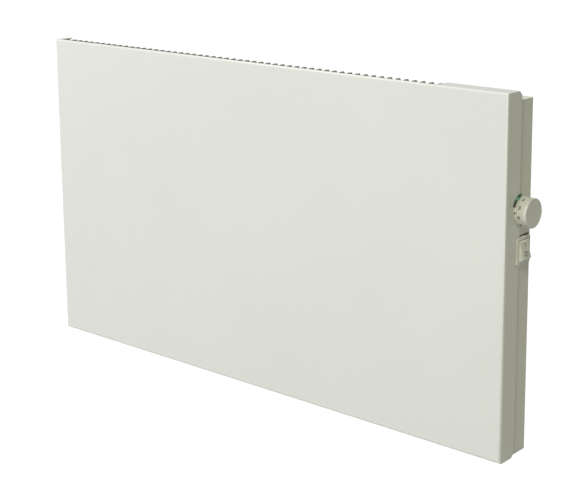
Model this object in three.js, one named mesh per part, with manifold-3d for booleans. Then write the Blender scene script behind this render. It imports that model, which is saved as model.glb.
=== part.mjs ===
// Wall panel convector heater: a folded front panel over a rear casing, with a finned element, an outlet
// grille, a thermostat and a rocker switch on the right side, hung on a wall bracket with sprung catches.
// Millimetres. While it is modelled, X runs along the width, Y from the front face to the wall and Z up
// from the panel's bottom. The exported group has its origin on the wall face of the bracket's crossbar.
import * as THREE from 'three';
import { mergeVertices } from 'three/addons/utils/BufferGeometryUtils.js';
import Module from 'manifold-3d';

// ---- Driving dimensions -------------------------------------------------------------------------------
const fit = 0.3; // clearance between pieces that touch

// front panel
const panelWidth = 652;
const panelHeight = 370;
const panelSheet = 1.2;
const panelBend = 2.5; // outside radius of its folds
const sideFlange = 24.4; // depth of the left and right flanges
const topFlange = 20; // depth of the top and bottom flanges
const outletMargin = 8.4; // left edge of the panel to the outlet cut-out
const controlWidth = 82.8; // outlet cut-out to the right edge of the panel
const outletLip = 2.9; // strip of the top flange left standing in front of the cut-out

// rear casing
const bodyDepth = 48; // front face to back face
const caseSheet = 1.0;
const caseBend = 2.0;
const caseSideGap = 0.6; // between the casing's side and the panel's flange
const caseTopDrop = 9.7; // casing top below the panel top
const caseFrontEdge = 6; // how far behind the front face the casing's side walls start
const caseLipRise = 4.7; // upturned lip behind the outlet
const inletSlotWidth = 6;
const inletSlotLength = 22;
const inletPitch = 14;

// outlet grille
const finPitch = 10.3;
const finSheet = 0.8;
const finHeight = 14;
const finNose = 3; // radius of the fins' rear top corner
const finCrest = 13.5; // where the fins' level top starts, behind the front face
const finShoulder = 8; // where their steep front slope starts
const finDrop = 4.5; // shoulder below the panel top
const firstFinGap = 9.5; // left end of the cut-out to the first fin
const grilleWeb = 20; // depth of the grille's front web below the panel top
const railHeight = 8;

// warm side
const elementY = 21;
const elementZ = 84;
const barrelRadius = 8;
const wingSpan = 27;
const wingSheet = 1.8;
const ribSheet = 1.2;
const ribHalf = 3.8; // half the width of the rib along each wing's edge
const cutPitch = 54; // between the expansion cuts across the wings
const rodRadius = 4;
const insulatorRadius = 6.5;
const baffleSheet = 0.8;
const baffleY = 40;
const partitionSheet = 1.0;
const partitionFlange = 14; // its two flanges, towards the controls
const cutoutInset = 70; // thermal cut-out to the partition
const cutoutRise = 66; // thermal cut-out above the element
const tabReach = 16; // wire ends in front of the cut-out's plate
const wireSlack = 20; // how far a wire bows beside the cut-out
const wireDrop = 34; // start of the wire's fall to the element's pin, above the pin

// controls on the right side
const controlInset = 18; // knob axis to the back face
const controlZ = 251; // knob axis, above the panel's bottom
const knobRadius = 15;
const knobLength = 10.9;
const collarHeight = 1.4; // collar above the panel's flange
const spindleRadius = 3;
const switchInset = 16.2; // middle of the switch to the back face
const switchZ = 212;
const bezelDepth = 23.2; // along Y
const bezelHeight = 27.6; // along Z
const bezelProud = 1.0; // bezel face above the panel's flange
const pivotDepth = 2.6; // rocker's pivot below the bezel face
const rockerWidth = 16.4;
const rockerHalf = 8.9; // half the length of its face
const rockerStand = 5.9; // ends of its face above the pivot
const rockerDish = 0.64; // depth of the hollow across its face
const rockerTilt = 11; // degrees either side of level
const reliefSlot = 1.4; // height of the slot above the bezel
const reliefLength = 16;

// supply side
const bulbRise = 12; // thermostat's bulb above the floor
const bulbLength = 105.7;
const bulbLead = 20; // straight part of its capillary
const terminalInset = 26; // terminal block to the partition
const terminalRise = 58; // terminal block above the cable gland
const terminalHalf = 9; // half its width
const terminalStep = 14; // between its ways
const entryInset = 6; // its side entries to the back wall
const neutralInset = 12; // neutral wire to the back wall
const neutralRise = 14; // neutral wire above the floor

// wall bracket
const wallGap = 24; // back of the casing to the wall
const bracketSheet = 1.2;
const bracketSpan = 300; // between the centres of the uprights
const uprightWidth = 30;
const uprightLip = 5;
const bracketBottom = 60;
const bracketDrop = 48; // bracket's top below the panel top
const crossbarRise = 130; // crossbar's middle above the bracket's bottom
const crossbarHeight = 40;
const hookLift = 8; // height of the hooks' upturned ends
const catchDrop = 65; // underside of the catch's nose below the panel top
const catchNose = 14; // width of the nose
const catchStroke = 8;
const catchBody = 24; // height of the sliding block
const catchLead = 14; // sliding block's bottom below the nose
const thumbLength = 30; // thumb piece above the sliding block
const springLength = 26;
const springTurns = 6;
const springWire = 0.6; // radius

// ---- Places that follow -------------------------------------------------------------------------------
const halfWidth = panelWidth / 2;
const caseHalf = halfWidth - panelSheet - caseSideGap;
const caseInner = caseHalf - caseSheet;
const caseTop = panelHeight - caseTopDrop;
const caseBottom = panelSheet + fit;
const caseFloor = caseBottom + caseSheet;
const caseCeiling = caseTop - caseSheet;
const backInner = bodyDepth - caseSheet;
const seatY = backInner - fit; // what is fixed to the back wall starts here
const wallY = bodyDepth + wallGap;
const outletLeft = -halfWidth + outletMargin;
const outletRight = halfWidth - controlWidth;
const lipY = topFlange + fit;
const partitionX = outletRight + 3;
const leftBracketX = -caseInner + 24;
const rightBracketX = partitionX - 22;
const flangeFace = halfWidth; // outer face of the right flange
const bezelFace = flangeFace + bezelProud;
const rockerPivotX = bezelFace - pivotDepth;
const rockerRadius = Math.hypot(rockerHalf, rockerStand);
const collarFace = flangeFace + collarHeight;
const knobFace = collarFace + fit + knobLength;
const controlY = bodyDepth - controlInset;
const switchY = bodyDepth - switchInset;
const bracketTop = panelHeight - bracketDrop;
const crossbarZ = bracketBottom + crossbarRise;
const catchZ = panelHeight - catchDrop;
const catchBottom = catchZ - catchLead;
const catchTop = catchBottom + catchBody;
const springShelf = catchBottom - fit * 2 - springLength;

// ---- Finishes -----------------------------------------------------------------------------------------
const finish = (color, roughness, metalness = 0) =>
  new THREE.MeshStandardMaterial({ color, roughness, metalness });
const whitePaint = finish(0xdfe0d4, 0.45);
const galvanised = finish(0xa9acae, 0.4, 0.9);
const aluminium = finish(0xc4c6c8, 0.35, 0.95);
const steel = finish(0x8f9296, 0.35, 0.9);
const whitePlastic = finish(0xd9dacb, 0.4);
const darkPlastic = finish(0x2a2b2b, 0.5);
const greyPlastic = finish(0x8b8d88, 0.5);
const greenPlastic = finish(0x1c7a45, 0.2);
const ceramic = finish(0xece7da, 0.6);
const brass = finish(0xb8963e, 0.35, 0.9);
const wireRed = finish(0x8a3a2c, 0.6);
const wireBlue = finish(0x2f4f8f, 0.6);
const wireEarth = finish(0x6f8a2f, 0.6);

// ---- Solids -------------------------------------------------------------------------------------------
const wasm = await Module();
wasm.setup();

// Local x, y, z of an extrusion go to these world axes. Each is a cyclic order, so nothing is mirrored.
const alongX = new THREE.Matrix4().makeBasis(
  new THREE.Vector3(0, 1, 0),
  new THREE.Vector3(0, 0, 1),
  new THREE.Vector3(1, 0, 0),
);
const alongY = new THREE.Matrix4().makeBasis(
  new THREE.Vector3(0, 0, 1),
  new THREE.Vector3(1, 0, 0),
  new THREE.Vector3(0, 1, 0),
);
const alongZ = new THREE.Matrix4();

function solidOf(geometry) {
  geometry.deleteAttribute('normal');
  geometry.deleteAttribute('uv');
  const merged = mergeVertices(geometry, 1e-4);
  const mesh = new wasm.Mesh({
    numProp: 3,
    vertProperties: new Float32Array(merged.attributes.position.array),
    triVerts: new Uint32Array(merged.index.array),
  });
  return new wasm.Manifold(mesh);
}

function geometryOf(solid) {
  const mesh = solid.getMesh();
  const geometry = new THREE.BufferGeometry();
  geometry.setAttribute('position', new THREE.BufferAttribute(mesh.vertProperties, 3));
  geometry.setIndex(new THREE.BufferAttribute(mesh.triVerts, 1));
  geometry.computeVertexNormals();
  return geometry;
}

const joined = (...solids) => solids.reduce((whole, next) => whole.add(next));
const cutBy = (solid, ...tools) => tools.reduce((rest, tool) => rest.subtract(tool), solid);

function block(x0, x1, y0, y1, z0, z1) {
  const box = new THREE.BoxGeometry(x1 - x0, y1 - y0, z1 - z0);
  return solidOf(box.translate((x0 + x1) / 2, (y0 + y1) / 2, (z0 + z1) / 2));
}

// Extrudes an outline of [a, b] pairs: (y, z) along X, (z, x) along Y or (x, y) along Z.
function prism(axes, outline, from, to) {
  const shape = new THREE.Shape(outline.map(([a, b]) => new THREE.Vector2(a, b)));
  const geometry = new THREE.ExtrudeGeometry(shape, { depth: to - from, bevelEnabled: false });
  return solidOf(geometry.translate(0, 0, from).applyMatrix4(axes));
}

function circle(a, b, radius, sides = 24) {
  const step = (2 * Math.PI) / sides;
  return Array.from({ length: sides }, (_, i) => [
    a + radius * Math.cos(i * step),
    b + radius * Math.sin(i * step),
  ]);
}

const cylinder = (axes, a, b, radius, from, to, sides = 24) =>
  prism(axes, circle(a, b, radius, sides), from, to);

// Revolves a closed profile of [radius, height] pairs, then lays the axis along the given axes' local z.
function turned(axes, profile, a, b, sides = 24) {
  const points = [...profile, profile[0]].map(([r, h]) => new THREE.Vector2(r, h));
  if (THREE.ShapeUtils.isClockWise(points)) points.reverse();
  const geometry = new THREE.LatheGeometry(points, sides);
  geometry.rotateX(Math.PI / 2).translate(a, b, 0);
  return solidOf(geometry.applyMatrix4(axes));
}

// A path of [a, b] pairs with its inner corners rounded, each by its own radius.
function rounded(path, radiusAt, steps = 4) {
  const points = path.map(([a, b]) => new THREE.Vector2(a, b));
  const out = [path[0]];
  for (let i = 1; i < points.length - 1; i += 1) {
    const back = points[i - 1].clone().sub(points[i]).normalize();
    const ahead = points[i + 1].clone().sub(points[i]).normalize();
    const half = Math.acos(THREE.MathUtils.clamp(back.dot(ahead), -1, 1)) / 2;
    const radius = radiusAt(i);
    const middle = back.clone().add(ahead).normalize();
    const centre = points[i].clone().addScaledVector(middle, radius / Math.sin(half));
    const start = points[i].clone().addScaledVector(back, radius / Math.tan(half)).sub(centre);
    const end = points[i].clone().addScaledVector(ahead, radius / Math.tan(half)).sub(centre);
    const sweep = Math.atan2(start.cross(end), start.dot(end));
    for (let k = 0; k <= steps; k += 1) {
      const spoke = start.clone().rotateAround(new THREE.Vector2(), (sweep * k) / steps);
      out.push([centre.x + spoke.x, centre.y + spoke.y]);
    }
  }
  out.push(path[path.length - 1]);
  return out;
}

// The outline of a sheet folded along a path. The sheet lies to the left of the path.
function folded(path, sheet, innerRadius, steps = 3) {
  const points = path.map(([a, b]) => new THREE.Vector2(a, b));
  const last = points.length - 1;
  const direction = (i) => points[i + 1].clone().sub(points[i]).normalize();
  const left = (v) => new THREE.Vector2(-v.y, v.x);
  const turn = (i) => direction(i - 1).cross(direction(i));
  const offset = points.map((point, i) => {
    const before = left(direction(Math.max(i - 1, 0)));
    const after = left(direction(Math.min(i, last - 1)));
    const mitre = before.clone().add(after).normalize();
    const moved = point.clone().addScaledVector(mitre, sheet / mitre.dot(after));
    return [moved.x, moved.y];
  });
  const outer = innerRadius + sheet;
  const near = rounded(path, (i) => (turn(i) > 0 ? outer : innerRadius), steps);
  const far = rounded(offset, (i) => (turn(i) > 0 ? innerRadius : outer), steps);
  return [...near, ...far.reverse()];
}

// A round tube along points given as [x, y, z].
function tube(points, radius, sides = 6, steps = 8 * points.length) {
  const path = new THREE.CatmullRomCurve3(points.map((p) => new THREE.Vector3(...p)), false, 'centripetal');
  const shape = new THREE.Shape(circle(0, 0, radius, sides).map(([a, b]) => new THREE.Vector2(a, b)));
  return solidOf(new THREE.ExtrudeGeometry(shape, { steps, extrudePath: path, bevelEnabled: false }));
}

const heater = new THREE.Group();

function piece(name, solid, material) {
  const mesh = new THREE.Mesh(geometryOf(solid), material);
  mesh.name = name;
  heater.add(mesh);
}

// A pan-head screw along local z: its shank runs forward of the head's seat.
function screw(axes, a, b, seat, shank) {
  const profile = [
    [0, seat - 1.8],
    [2.2, seat - 1.8],
    [3.4, seat - 0.9],
    [3.4, seat],
    [1.5, seat],
    [1.5, seat + shank],
    [0, seat + shank],
  ];
  return turned(axes, profile, a, b, 12);
}

// ---- Front panel --------------------------------------------------------------------------------------
// Outline of the panel's depth section: square at the open rear, folded at the front.
function panelBlank(inset) {
  const front = inset;
  const radius = panelBend - inset;
  const half = halfWidth - inset;
  const across = rounded(
    [[-half, sideFlange + inset], [-half, front], [half, front], [half, sideFlange + inset]],
    () => radius,
  );
  const upright = rounded(
    [
      [sideFlange + inset, panelHeight - inset],
      [front, panelHeight - inset],
      [front, inset],
      [sideFlange + inset, inset],
    ],
    () => radius,
  );
  const tall = prism(alongZ, across, inset - 1, panelHeight - inset + 1);
  return tall.intersect(prism(alongX, upright, -half - 1, half + 1));
}

const caseScrewXs = [-0.42, 0, 0.42].map((share) => share * panelWidth);
const caseScrewY = topFlange * 0.6;
const screwHole = (x) => cylinder(alongZ, x, caseScrewY, 1.9, -1, caseFloor + 1, 12);

// Knob and lens share one opening in the flange; the lens is an arc beside the knob.
const lensInner = knobRadius + 0.9;
const lensOuter = knobRadius + 4.3;
function arcOutline(inner, outer, startDegrees, endDegrees, steps = 6) {
  const at = (radius, share) => {
    const angle = THREE.MathUtils.degToRad(startDegrees + (endDegrees - startDegrees) * share);
    return [controlY + radius * Math.cos(angle), controlZ + radius * Math.sin(angle)];
  };
  const shares = Array.from({ length: steps + 1 }, (_, i) => i / steps);
  return [...shares.map((s) => at(outer, s)), ...shares.reverse().map((s) => at(inner, s))];
}

function frontPanel() {
  const shell = panelBlank(0).subtract(panelBlank(panelSheet));
  const inner = halfWidth - panelSheet;
  const corner = sideFlange - topFlange;
  const behindFlange = (z0, z1) => block(-inner, inner, topFlange, sideFlange + 1, z0, z1);
  const chamfer = (z, way) =>
    prism(
      alongX,
      [[topFlange, z + way], [topFlange, z], [sideFlange, z - way * corner], [sideFlange + 1, z + way]],
      -halfWidth - 1,
      halfWidth + 1,
    );
  const outlet = block(
    outletLeft,
    outletRight,
    outletLip,
    sideFlange + 1,
    panelHeight - panelSheet - 0.5,
    panelHeight + 1,
  );
  const wallFrom = inner - 0.2;
  const wallTo = halfWidth + 1;
  const knobCut = cylinder(alongX, controlY, controlZ, knobRadius + 0.6, wallFrom, wallTo, 40);
  const lensCut = prism(alongX, arcOutline(knobRadius, lensOuter + 0.4, 96, 156), wallFrom, wallTo);
  const switchCut = block(
    wallFrom,
    wallTo,
    switchY - bezelDepth / 2 - fit,
    sideFlange + 1,
    switchZ - bezelHeight / 2 - fit,
    switchZ + bezelHeight / 2 + fit,
  );
  return cutBy(
    shell,
    behindFlange(panelHeight - panelSheet - 0.5, panelHeight + 1),
    behindFlange(-1, panelSheet + 0.2),
    chamfer(panelHeight, 1),
    chamfer(0, -1),
    outlet,
    knobCut,
    lensCut,
    switchCut,
    ...caseScrewXs.map(screwHole),
  );
}
piece('front_panel', frontPanel(), whitePaint);

// ---- Rear casing --------------------------------------------------------------------------------------
const uprightXs = [-bracketSpan / 2, bracketSpan / 2];
const hookZ = bracketBottom + 24; // underside of the hook's stub
const hookStub = 5;
const hookReach = backInner - 1.0; // front of the sheet's seat in the hook
const glandX = halfWidth - 44;
const glandZ = 42;
const glandHole = 7;
const sensorX = caseInner - 9;
const thermostatHole = spindleRadius + 2;
const bushRadius = thermostatHole - fit;
const lampAngle = THREE.MathUtils.degToRad(126);
const lampRadius = (lensInner + lensOuter) / 2;
const lampY = controlY + lampRadius * Math.cos(lampAngle);
const lampZ = controlZ + lampRadius * Math.sin(lampAngle);
const stemRadius = 1.5;
const housingHalfY = rockerWidth / 2 + 1.6;
const housingHalfZ = rockerRadius + 1.4;
const hookX = (x) => x + Math.sign(x) * (uprightWidth / 2 - bracketSheet / 2);

function inletSlots() {
  const half = inletSlotWidth / 2;
  const y0 = caseFrontEdge + 10;
  const y1 = y0 + inletSlotLength;
  const span = partitionX - leftBracketX - 2 * inletPitch;
  const count = Math.floor(span / inletPitch);
  const slot = (i) => {
    const x = leftBracketX + inletPitch * (i + 1);
    const clear = caseScrewXs.every((at) => Math.abs(at - x) > half + 5);
    const start = clear ? y0 : y0 + 4;
    const outline = [
      [x - half, start + half],
      [x - half / 2, start],
      [x + half / 2, start],
      [x + half, start + half],
      [x + half, y1 - half],
      [x + half / 2, y1],
      [x - half / 2, y1],
      [x - half, y1 - half],
    ];
    return prism(alongZ, outline, caseBottom - 1, caseFloor + 1);
  };
  return Array.from({ length: count }, (_, i) => slot(i));
}

function rearCasing() {
  const walls = folded(
    [[-caseHalf, caseFrontEdge], [-caseHalf, bodyDepth], [caseHalf, bodyDepth], [caseHalf, caseFrontEdge]]
      .reverse(),
    caseSheet,
    caseBend - caseSheet,
  );
  const wrap = prism(alongZ, walls, caseBottom, caseTop);
  const floorHalf = caseHalf - 0.5;
  const floor = block(-floorHalf, floorHalf, caseFrontEdge, backInner + 0.5, caseBottom, caseFloor);
  const lipBack = lipY + caseSheet;
  const roofPath = [[backInner + 0.5, caseTop], [lipBack, caseTop], [lipBack, caseTop + caseLipRise]];
  const roof = prism(alongX, folded(roofPath, caseSheet, 0.4), -caseInner - 0.5, caseInner + 0.5);
  const lipEnd = (x0, x1) => block(x0, x1, lipY - 1, lipBack + 1, caseTop, caseTop + caseLipRise + 1);
  const hookSlot = (x) =>
    block(
      hookX(x) - bracketSheet / 2 - 1,
      hookX(x) + bracketSheet / 2 + 1,
      backInner - 1,
      bodyDepth + 1,
      hookZ - hookLift - 2,
      hookZ + hookStub + fit,
    );
  const catchSlot = (x) =>
    block(
      x - catchNose / 2 - 1,
      x + catchNose / 2 + 1,
      backInner - 1,
      bodyDepth + 1,
      catchZ - catchStroke - 0.6,
      catchZ + hookStub + fit,
    );
  const sideFrom = caseInner - 1;
  const sideTo = caseHalf + 1;
  const bezelTop = switchZ + bezelHeight / 2;
  const reliefEnd = bodyDepth - caseBend - 0.6;
  return cutBy(
    joined(wrap, floor, roof),
    lipEnd(-caseHalf - 1, -caseInner + 1),
    lipEnd(caseInner - 1, caseHalf + 1),
    ...uprightXs.map(hookSlot),
    ...uprightXs.map(catchSlot),
    ...inletSlots(),
    ...caseScrewXs.map(screwHole),
    cylinder(alongY, glandZ, glandX, glandHole, backInner - 1, bodyDepth + 1, 20),
    cylinder(alongX, controlY, controlZ, thermostatHole, sideFrom, sideTo, 16),
    cylinder(alongX, lampY, lampZ, stemRadius + 0.4, sideFrom, sideTo, 10),
    block(
      sideFrom,
      sideTo,
      switchY - housingHalfY - fit,
      switchY + housingHalfY + fit,
      switchZ - housingHalfZ - fit,
      switchZ + housingHalfZ + fit,
    ),
    block(
      sideFrom,
      sideTo,
      reliefEnd - reliefLength,
      reliefEnd,
      bezelTop,
      bezelTop + reliefSlot,
    ),
  );
}
piece('rear_casing', rearCasing(), whitePaint);

// ---- Outlet grille: one comb of upright fins between a front web and a low rear rail ---------------------
function outletGrille() {
  const webFront = panelSheet + fit;
  const webTop = panelHeight - panelBend - fit;
  const finBottom = panelHeight - finHeight;
  const finLip = outletLip + fit;
  const outline = rounded(
    [
      [finLip, webTop - finDrop],
      [finShoulder, panelHeight - finDrop],
      [finCrest, panelHeight],
      [topFlange, panelHeight],
      [topFlange, finBottom + 5],
      [topFlange - 5, finBottom],
      [webFront, finBottom],
    ],
    (i) => (i === 3 ? finNose : 0.6),
    2,
  );
  outline.push([webFront, webTop - finDrop]);
  const count = Math.floor((outletRight - outletLeft - firstFinGap - finSheet) / finPitch) + 1;
  const fins = Array.from({ length: count }, (_, i) => {
    const x = outletLeft + firstFinGap + i * finPitch;
    return prism(alongX, outline, x - finSheet / 2, x + finSheet / 2);
  });
  const endTab = 6;
  const web = block(
    outletLeft - endTab,
    outletRight + controlWidth / 3,
    webFront,
    webFront + finSheet,
    panelHeight - grilleWeb,
    webTop,
  );
  const rail = block(
    outletLeft - endTab / 2,
    outletRight + 1,
    topFlange - finSheet,
    topFlange,
    finBottom - 2,
    finBottom - 2 + railHeight,
  );
  return joined(web, rail, ...fins);
}
piece('outlet_grille', outletGrille(), whitePaint);

// ---- Warm side ------------------------------------------------------------------------------------------
function elementFins() {
  const from = leftBracketX + 16;
  const to = rightBracketX - 16;
  const barrel = cylinder(alongX, elementY, elementZ, barrelRadius, from, to, 20);
  const wings = [58, 122, 238, 302].flatMap((degrees) => {
    const angle = THREE.MathUtils.degToRad(degrees);
    const across = (r, s) => [
      elementY + r * Math.cos(angle) - s * Math.sin(angle),
      elementZ + r * Math.sin(angle) + s * Math.cos(angle),
    ];
    const bar = (r0, r1, s) =>
      prism(alongX, [across(r0, -s), across(r1, -s), across(r1, s), across(r0, s)], from, to);
    const wing = bar(barrelRadius - 2, wingSpan, wingSheet / 2);
    return [wing, bar(wingSpan - ribSheet, wingSpan + 0.2, ribHalf)];
  });
  const bore = cylinder(alongX, elementY, elementZ, rodRadius + fit, from - 1, to + 1, 16);
  const cuts = Math.floor((to - from - cutPitch) / cutPitch) + 1;
  const gapsAt = (way) =>
    Array.from({ length: cuts }, (_, i) => {
      const x = from + cutPitch * (i + 0.75);
      const z0 = elementZ + way * (barrelRadius + 3);
      const z1 = elementZ + way * (wingSpan + 4);
      return block(
        x,
        x + 2,
        elementY - wingSpan,
        elementY + wingSpan,
        Math.min(z0, z1),
        Math.max(z0, z1),
      );
    });
  return cutBy(joined(barrel, ...wings), bore, ...gapsAt(1), ...gapsAt(-1));
}
piece('element_fins', elementFins(), aluminium);

const rodOverhang = 10;
const pinLength = 6;
piece(
  'element_rod',
  turned(
    alongX,
    [
      [0, leftBracketX - rodOverhang - pinLength],
      [1.5, leftBracketX - rodOverhang - pinLength],
      [1.5, leftBracketX - rodOverhang],
      [rodRadius, leftBracketX - rodOverhang],
      [rodRadius, rightBracketX + rodOverhang],
      [1.5, rightBracketX + rodOverhang],
      [1.5, rightBracketX + rodOverhang + pinLength],
      [0, rightBracketX + rodOverhang + pinLength],
    ],
    elementY,
    elementZ,
    16,
  ),
  steel,
);

// Each insulator sits in its bracket's hole with a shoulder on the element's side.
function insulator(x, way) {
  const bore = rodRadius + fit;
  const shoulder = insulatorRadius + 2.5;
  const inner = x + way * (bracketSheet / 2 + fit);
  const profile = [
    [bore, x - way * 8],
    [insulatorRadius, x - way * 8],
    [insulatorRadius, inner],
    [shoulder, inner],
    [shoulder, inner + way * 5],
    [bore, inner + way * 5],
  ];
  return turned(alongX, profile, elementY, elementZ, 20);
}
piece('insulator_left', insulator(leftBracketX, 1), ceramic);
piece('insulator_right', insulator(rightBracketX, -1), ceramic);

function elementBracket(x, way) {
  const half = bracketSheet / 2;
  const foot = 14;
  const halfHeight = 16;
  const path = [[x, elementY - 14], [x, seatY], [x + way * foot, seatY]];
  const line = path.map(([a, b]) => [a - way * half, b]);
  const outline = folded(way > 0 ? line.reverse() : line, bracketSheet, 0.6);
  const plate = prism(alongZ, outline, elementZ - halfHeight, elementZ + halfHeight);
  return plate.subtract(cylinder(alongX, elementY, elementZ, insulatorRadius + fit, x - 4, x + 4, 20));
}
piece('element_bracket_left', elementBracket(leftBracketX, -1), galvanised);
piece('element_bracket_right', elementBracket(rightBracketX, 1), galvanised);

// The baffle stands on the back wall, rises behind the element and leans forward under the roof.
function heatBaffle() {
  const under = caseCeiling - fit - baffleSheet;
  const path = [
    [seatY, caseFloor + 22],
    [seatY, caseFloor + 38],
    [baffleY, caseFloor + 46],
    [baffleY, caseTop - 34],
    [lipY + 3, caseTop - 12],
    [lipY + 3, under],
    [lipY + 14, under],
  ];
  return prism(alongX, folded(path, baffleSheet, 0.6, 2), leftBracketX + 4, rightBracketX - 4);
}
piece('heat_baffle', heatBaffle(), galvanised);

function partition() {
  const flangeX = partitionX + partitionFlange;
  const line = [[flangeX, 3], [partitionX, 3], [partitionX, seatY], [flangeX, seatY]];
  const outline = folded(line.reverse(), partitionSheet, 0.6);
  const wall = prism(alongZ, outline, caseFloor + fit, panelHeight - panelSheet - fit);
  const from = partitionX - 2;
  const to = flangeX + 1;
  const roofCut = block(from, to, lipY - fit, bodyDepth, caseCeiling - fit, panelHeight + 1);
  const webCut = block(from, to, 0, topFlange * 0.3, panelHeight - grilleWeb - 2, panelHeight);
  const wireHole = (y, z) => cylinder(alongX, y, z, 5, partitionX - 2, partitionX + 4, 12);
  return cutBy(wall, roofCut, webCut, wireHole(throughY, throughZ), wireHole(neutralY, neutralZ));
}

// Where wires pass the partition
const throughY = 30;
const throughZ = elementZ + 46;
const neutralY = backInner - neutralInset;
const neutralZ = caseFloor + neutralRise;

piece('control_partition', partition(), galvanised);

const cutoutX = partitionX - cutoutInset;
const cutoutZ = elementZ + cutoutRise;
const baffleFront = baffleY - baffleSheet;
const cutoutSeat = baffleFront - fit;
const cutoutTab = (x) =>
  block(x - 1.5, x + 1.5, cutoutSeat - 14, cutoutSeat - 6, cutoutZ - 0.4, cutoutZ + 0.4);
piece(
  'thermal_cutout',
  joined(
    turned(
      alongY,
      [
        [0, cutoutSeat],
        [9, cutoutSeat],
        [9, cutoutSeat - 1],
        [7.5, cutoutSeat - 1],
        [7.5, cutoutSeat - 8],
        [0, cutoutSeat - 8],
      ],
      cutoutZ,
      cutoutX,
    ),
    block(cutoutX - 14, cutoutX + 14, cutoutSeat - 0.8, cutoutSeat, cutoutZ - 3, cutoutZ + 3),
    cutoutTab(cutoutX - 3.5),
    cutoutTab(cutoutX + 3.5),
  ),
  darkPlastic,
);

// ---- Thermostat -----------------------------------------------------------------------------------------
const bodyHalf = 17;
const bodyX1 = caseInner - fit;
const bodyX0 = bodyX1 - 26;
const bodyY1 = Math.min(controlY + 14, seatY);
const bodyY0 = controlY - 14;
piece(
  'thermostat_body',
  cutBy(
    joined(
      block(bodyX0, bodyX1, bodyY0, bodyY1, controlZ - bodyHalf, controlZ + bodyHalf * 0.6),
      cylinder(alongX, controlY, controlZ, bushRadius, bodyX1 - 2, caseHalf + fit, 20),
      block(bodyX0 - 7, bodyX0 + 1, controlY - 8, controlY - 7.2, controlZ - 8, controlZ - 3),
      block(bodyX0 - 7, bodyX0 + 1, controlY + 7.2, controlY + 8, controlZ - 8, controlZ - 3),
    ),
    cylinder(alongX, controlY, controlZ, spindleRadius + fit, bodyX0 + 8, caseHalf + 2, 20),
  ),
  darkPlastic,
);
piece(
  'thermostat_spindle',
  cutBy(
    cylinder(alongX, controlY, controlZ, spindleRadius, bodyX0 + 8 + fit, knobFace - 2 - fit, 20),
    block(
      collarFace - 0.5,
      knobFace,
      controlY + spindleRadius * 0.5,
      controlY + spindleRadius + 1,
      controlZ - spindleRadius - 1,
      controlZ + spindleRadius + 1,
    ),
  ),
  steel,
);
const collarBase = caseHalf + fit * 2;
piece(
  'thermostat_collar',
  turned(
    alongX,
    [
      [spindleRadius + fit, collarBase],
      [knobRadius + 0.2, collarBase],
      [knobRadius + 0.2, collarFace - 0.6],
      [knobRadius - 0.4, collarFace],
      [spindleRadius + fit, collarFace],
    ],
    controlY,
    controlZ,
    48,
  ),
  whitePlastic,
);
piece(
  'thermostat_knob',
  cutBy(
    turned(
      alongX,
      [
        [0, collarFace + fit],
        [knobRadius - 0.3, collarFace + fit],
        [knobRadius, collarFace + fit + 0.3],
        [knobRadius - 0.1, knobFace - 1.2],
        [knobRadius - 0.5, knobFace - 0.4],
        [knobRadius - 1.2, knobFace],
        [0, knobFace],
      ],
      controlY,
      controlZ,
      48,
    ),
    prism(
      alongX,
      circle(controlY, controlZ, spindleRadius + fit, 20).map(([a, b]) => [
        Math.min(a, controlY + spindleRadius * 0.5 + fit),
        b,
      ]),
      collarFace,
      knobFace - 2,
    ),
  ),
  whitePlastic,
);

const bulbBottom = caseFloor + bulbRise;
const bulbTop = bulbBottom + bulbLength;
const sensorY = 22;
const capillaryY = switchY - housingHalfY - 4; // it passes in front of the switch
piece(
  'thermostat_sensor',
  joined(
    cylinder(alongZ, sensorX, sensorY, 3, bulbBottom, bulbTop, 12),
    tube(
      [
        [sensorX, sensorY, bulbTop - 2],
        [sensorX, sensorY, bulbTop + bulbLead],
        [sensorX - 5, capillaryY, switchZ - housingHalfZ - 12],
        [bodyX0 + 8, capillaryY, controlZ - bodyHalf - 12],
        [bodyX0 + 8, capillaryY, controlZ - bodyHalf - fit],
      ],
      0.9,
      6,
      18,
    ),
  ),
  brass,
);
// The clip is a folded strip that holds the bulb against the casing's side wall.
function sensorClip() {
  const wallX = caseInner - fit;
  const ring = 3 + fit;
  const grip = circle(sensorX, sensorY, ring + 0.8, 16);
  const low = bulbBottom + 30;
  const high = bulbBottom + 38;
  const side = sensorY + ring - 0.2;
  const collar = prism(alongZ, grip, low, high);
  const arm = block(sensorX, wallX, side, side + 1, low, high);
  const foot = block(wallX - 0.8, wallX, side, sensorY + 16, low, high);
  const hole = cylinder(alongZ, sensorX, sensorY, ring, bulbBottom, bulbTop, 16);
  const mouth = block(sensorX - 8, sensorX, sensorY - 1.6, sensorY + 1.6, bulbBottom, bulbTop);
  return cutBy(joined(collar, arm, foot), hole, mouth);
}
piece('sensor_clip', sensorClip(), galvanised);

// ---- Indicator ------------------------------------------------------------------------------------------
const lensBase = caseHalf + fit;
const lensFace = flangeFace + 0.6;
const lampFace = caseInner - 5;
piece(
  'indicator_lens',
  joined(
    prism(alongX, arcOutline(lensInner, lensOuter, 99, 153), lensBase, lensFace),
    cylinder(alongX, lampY, lampZ, stemRadius, lampFace + fit, lensBase + 0.5, 10),
  ),
  greenPlastic,
);
piece(
  'indicator_lamp',
  turned(
    alongX,
    [
      [0, lampFace - 16],
      [2, lampFace - 16],
      [2, lampFace - 12],
      [3, lampFace - 12],
      [3, lampFace - 1],
      [2, lampFace],
      [0, lampFace],
    ],
    lampY,
    lampZ,
    12,
  ),
  greyPlastic,
);

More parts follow.
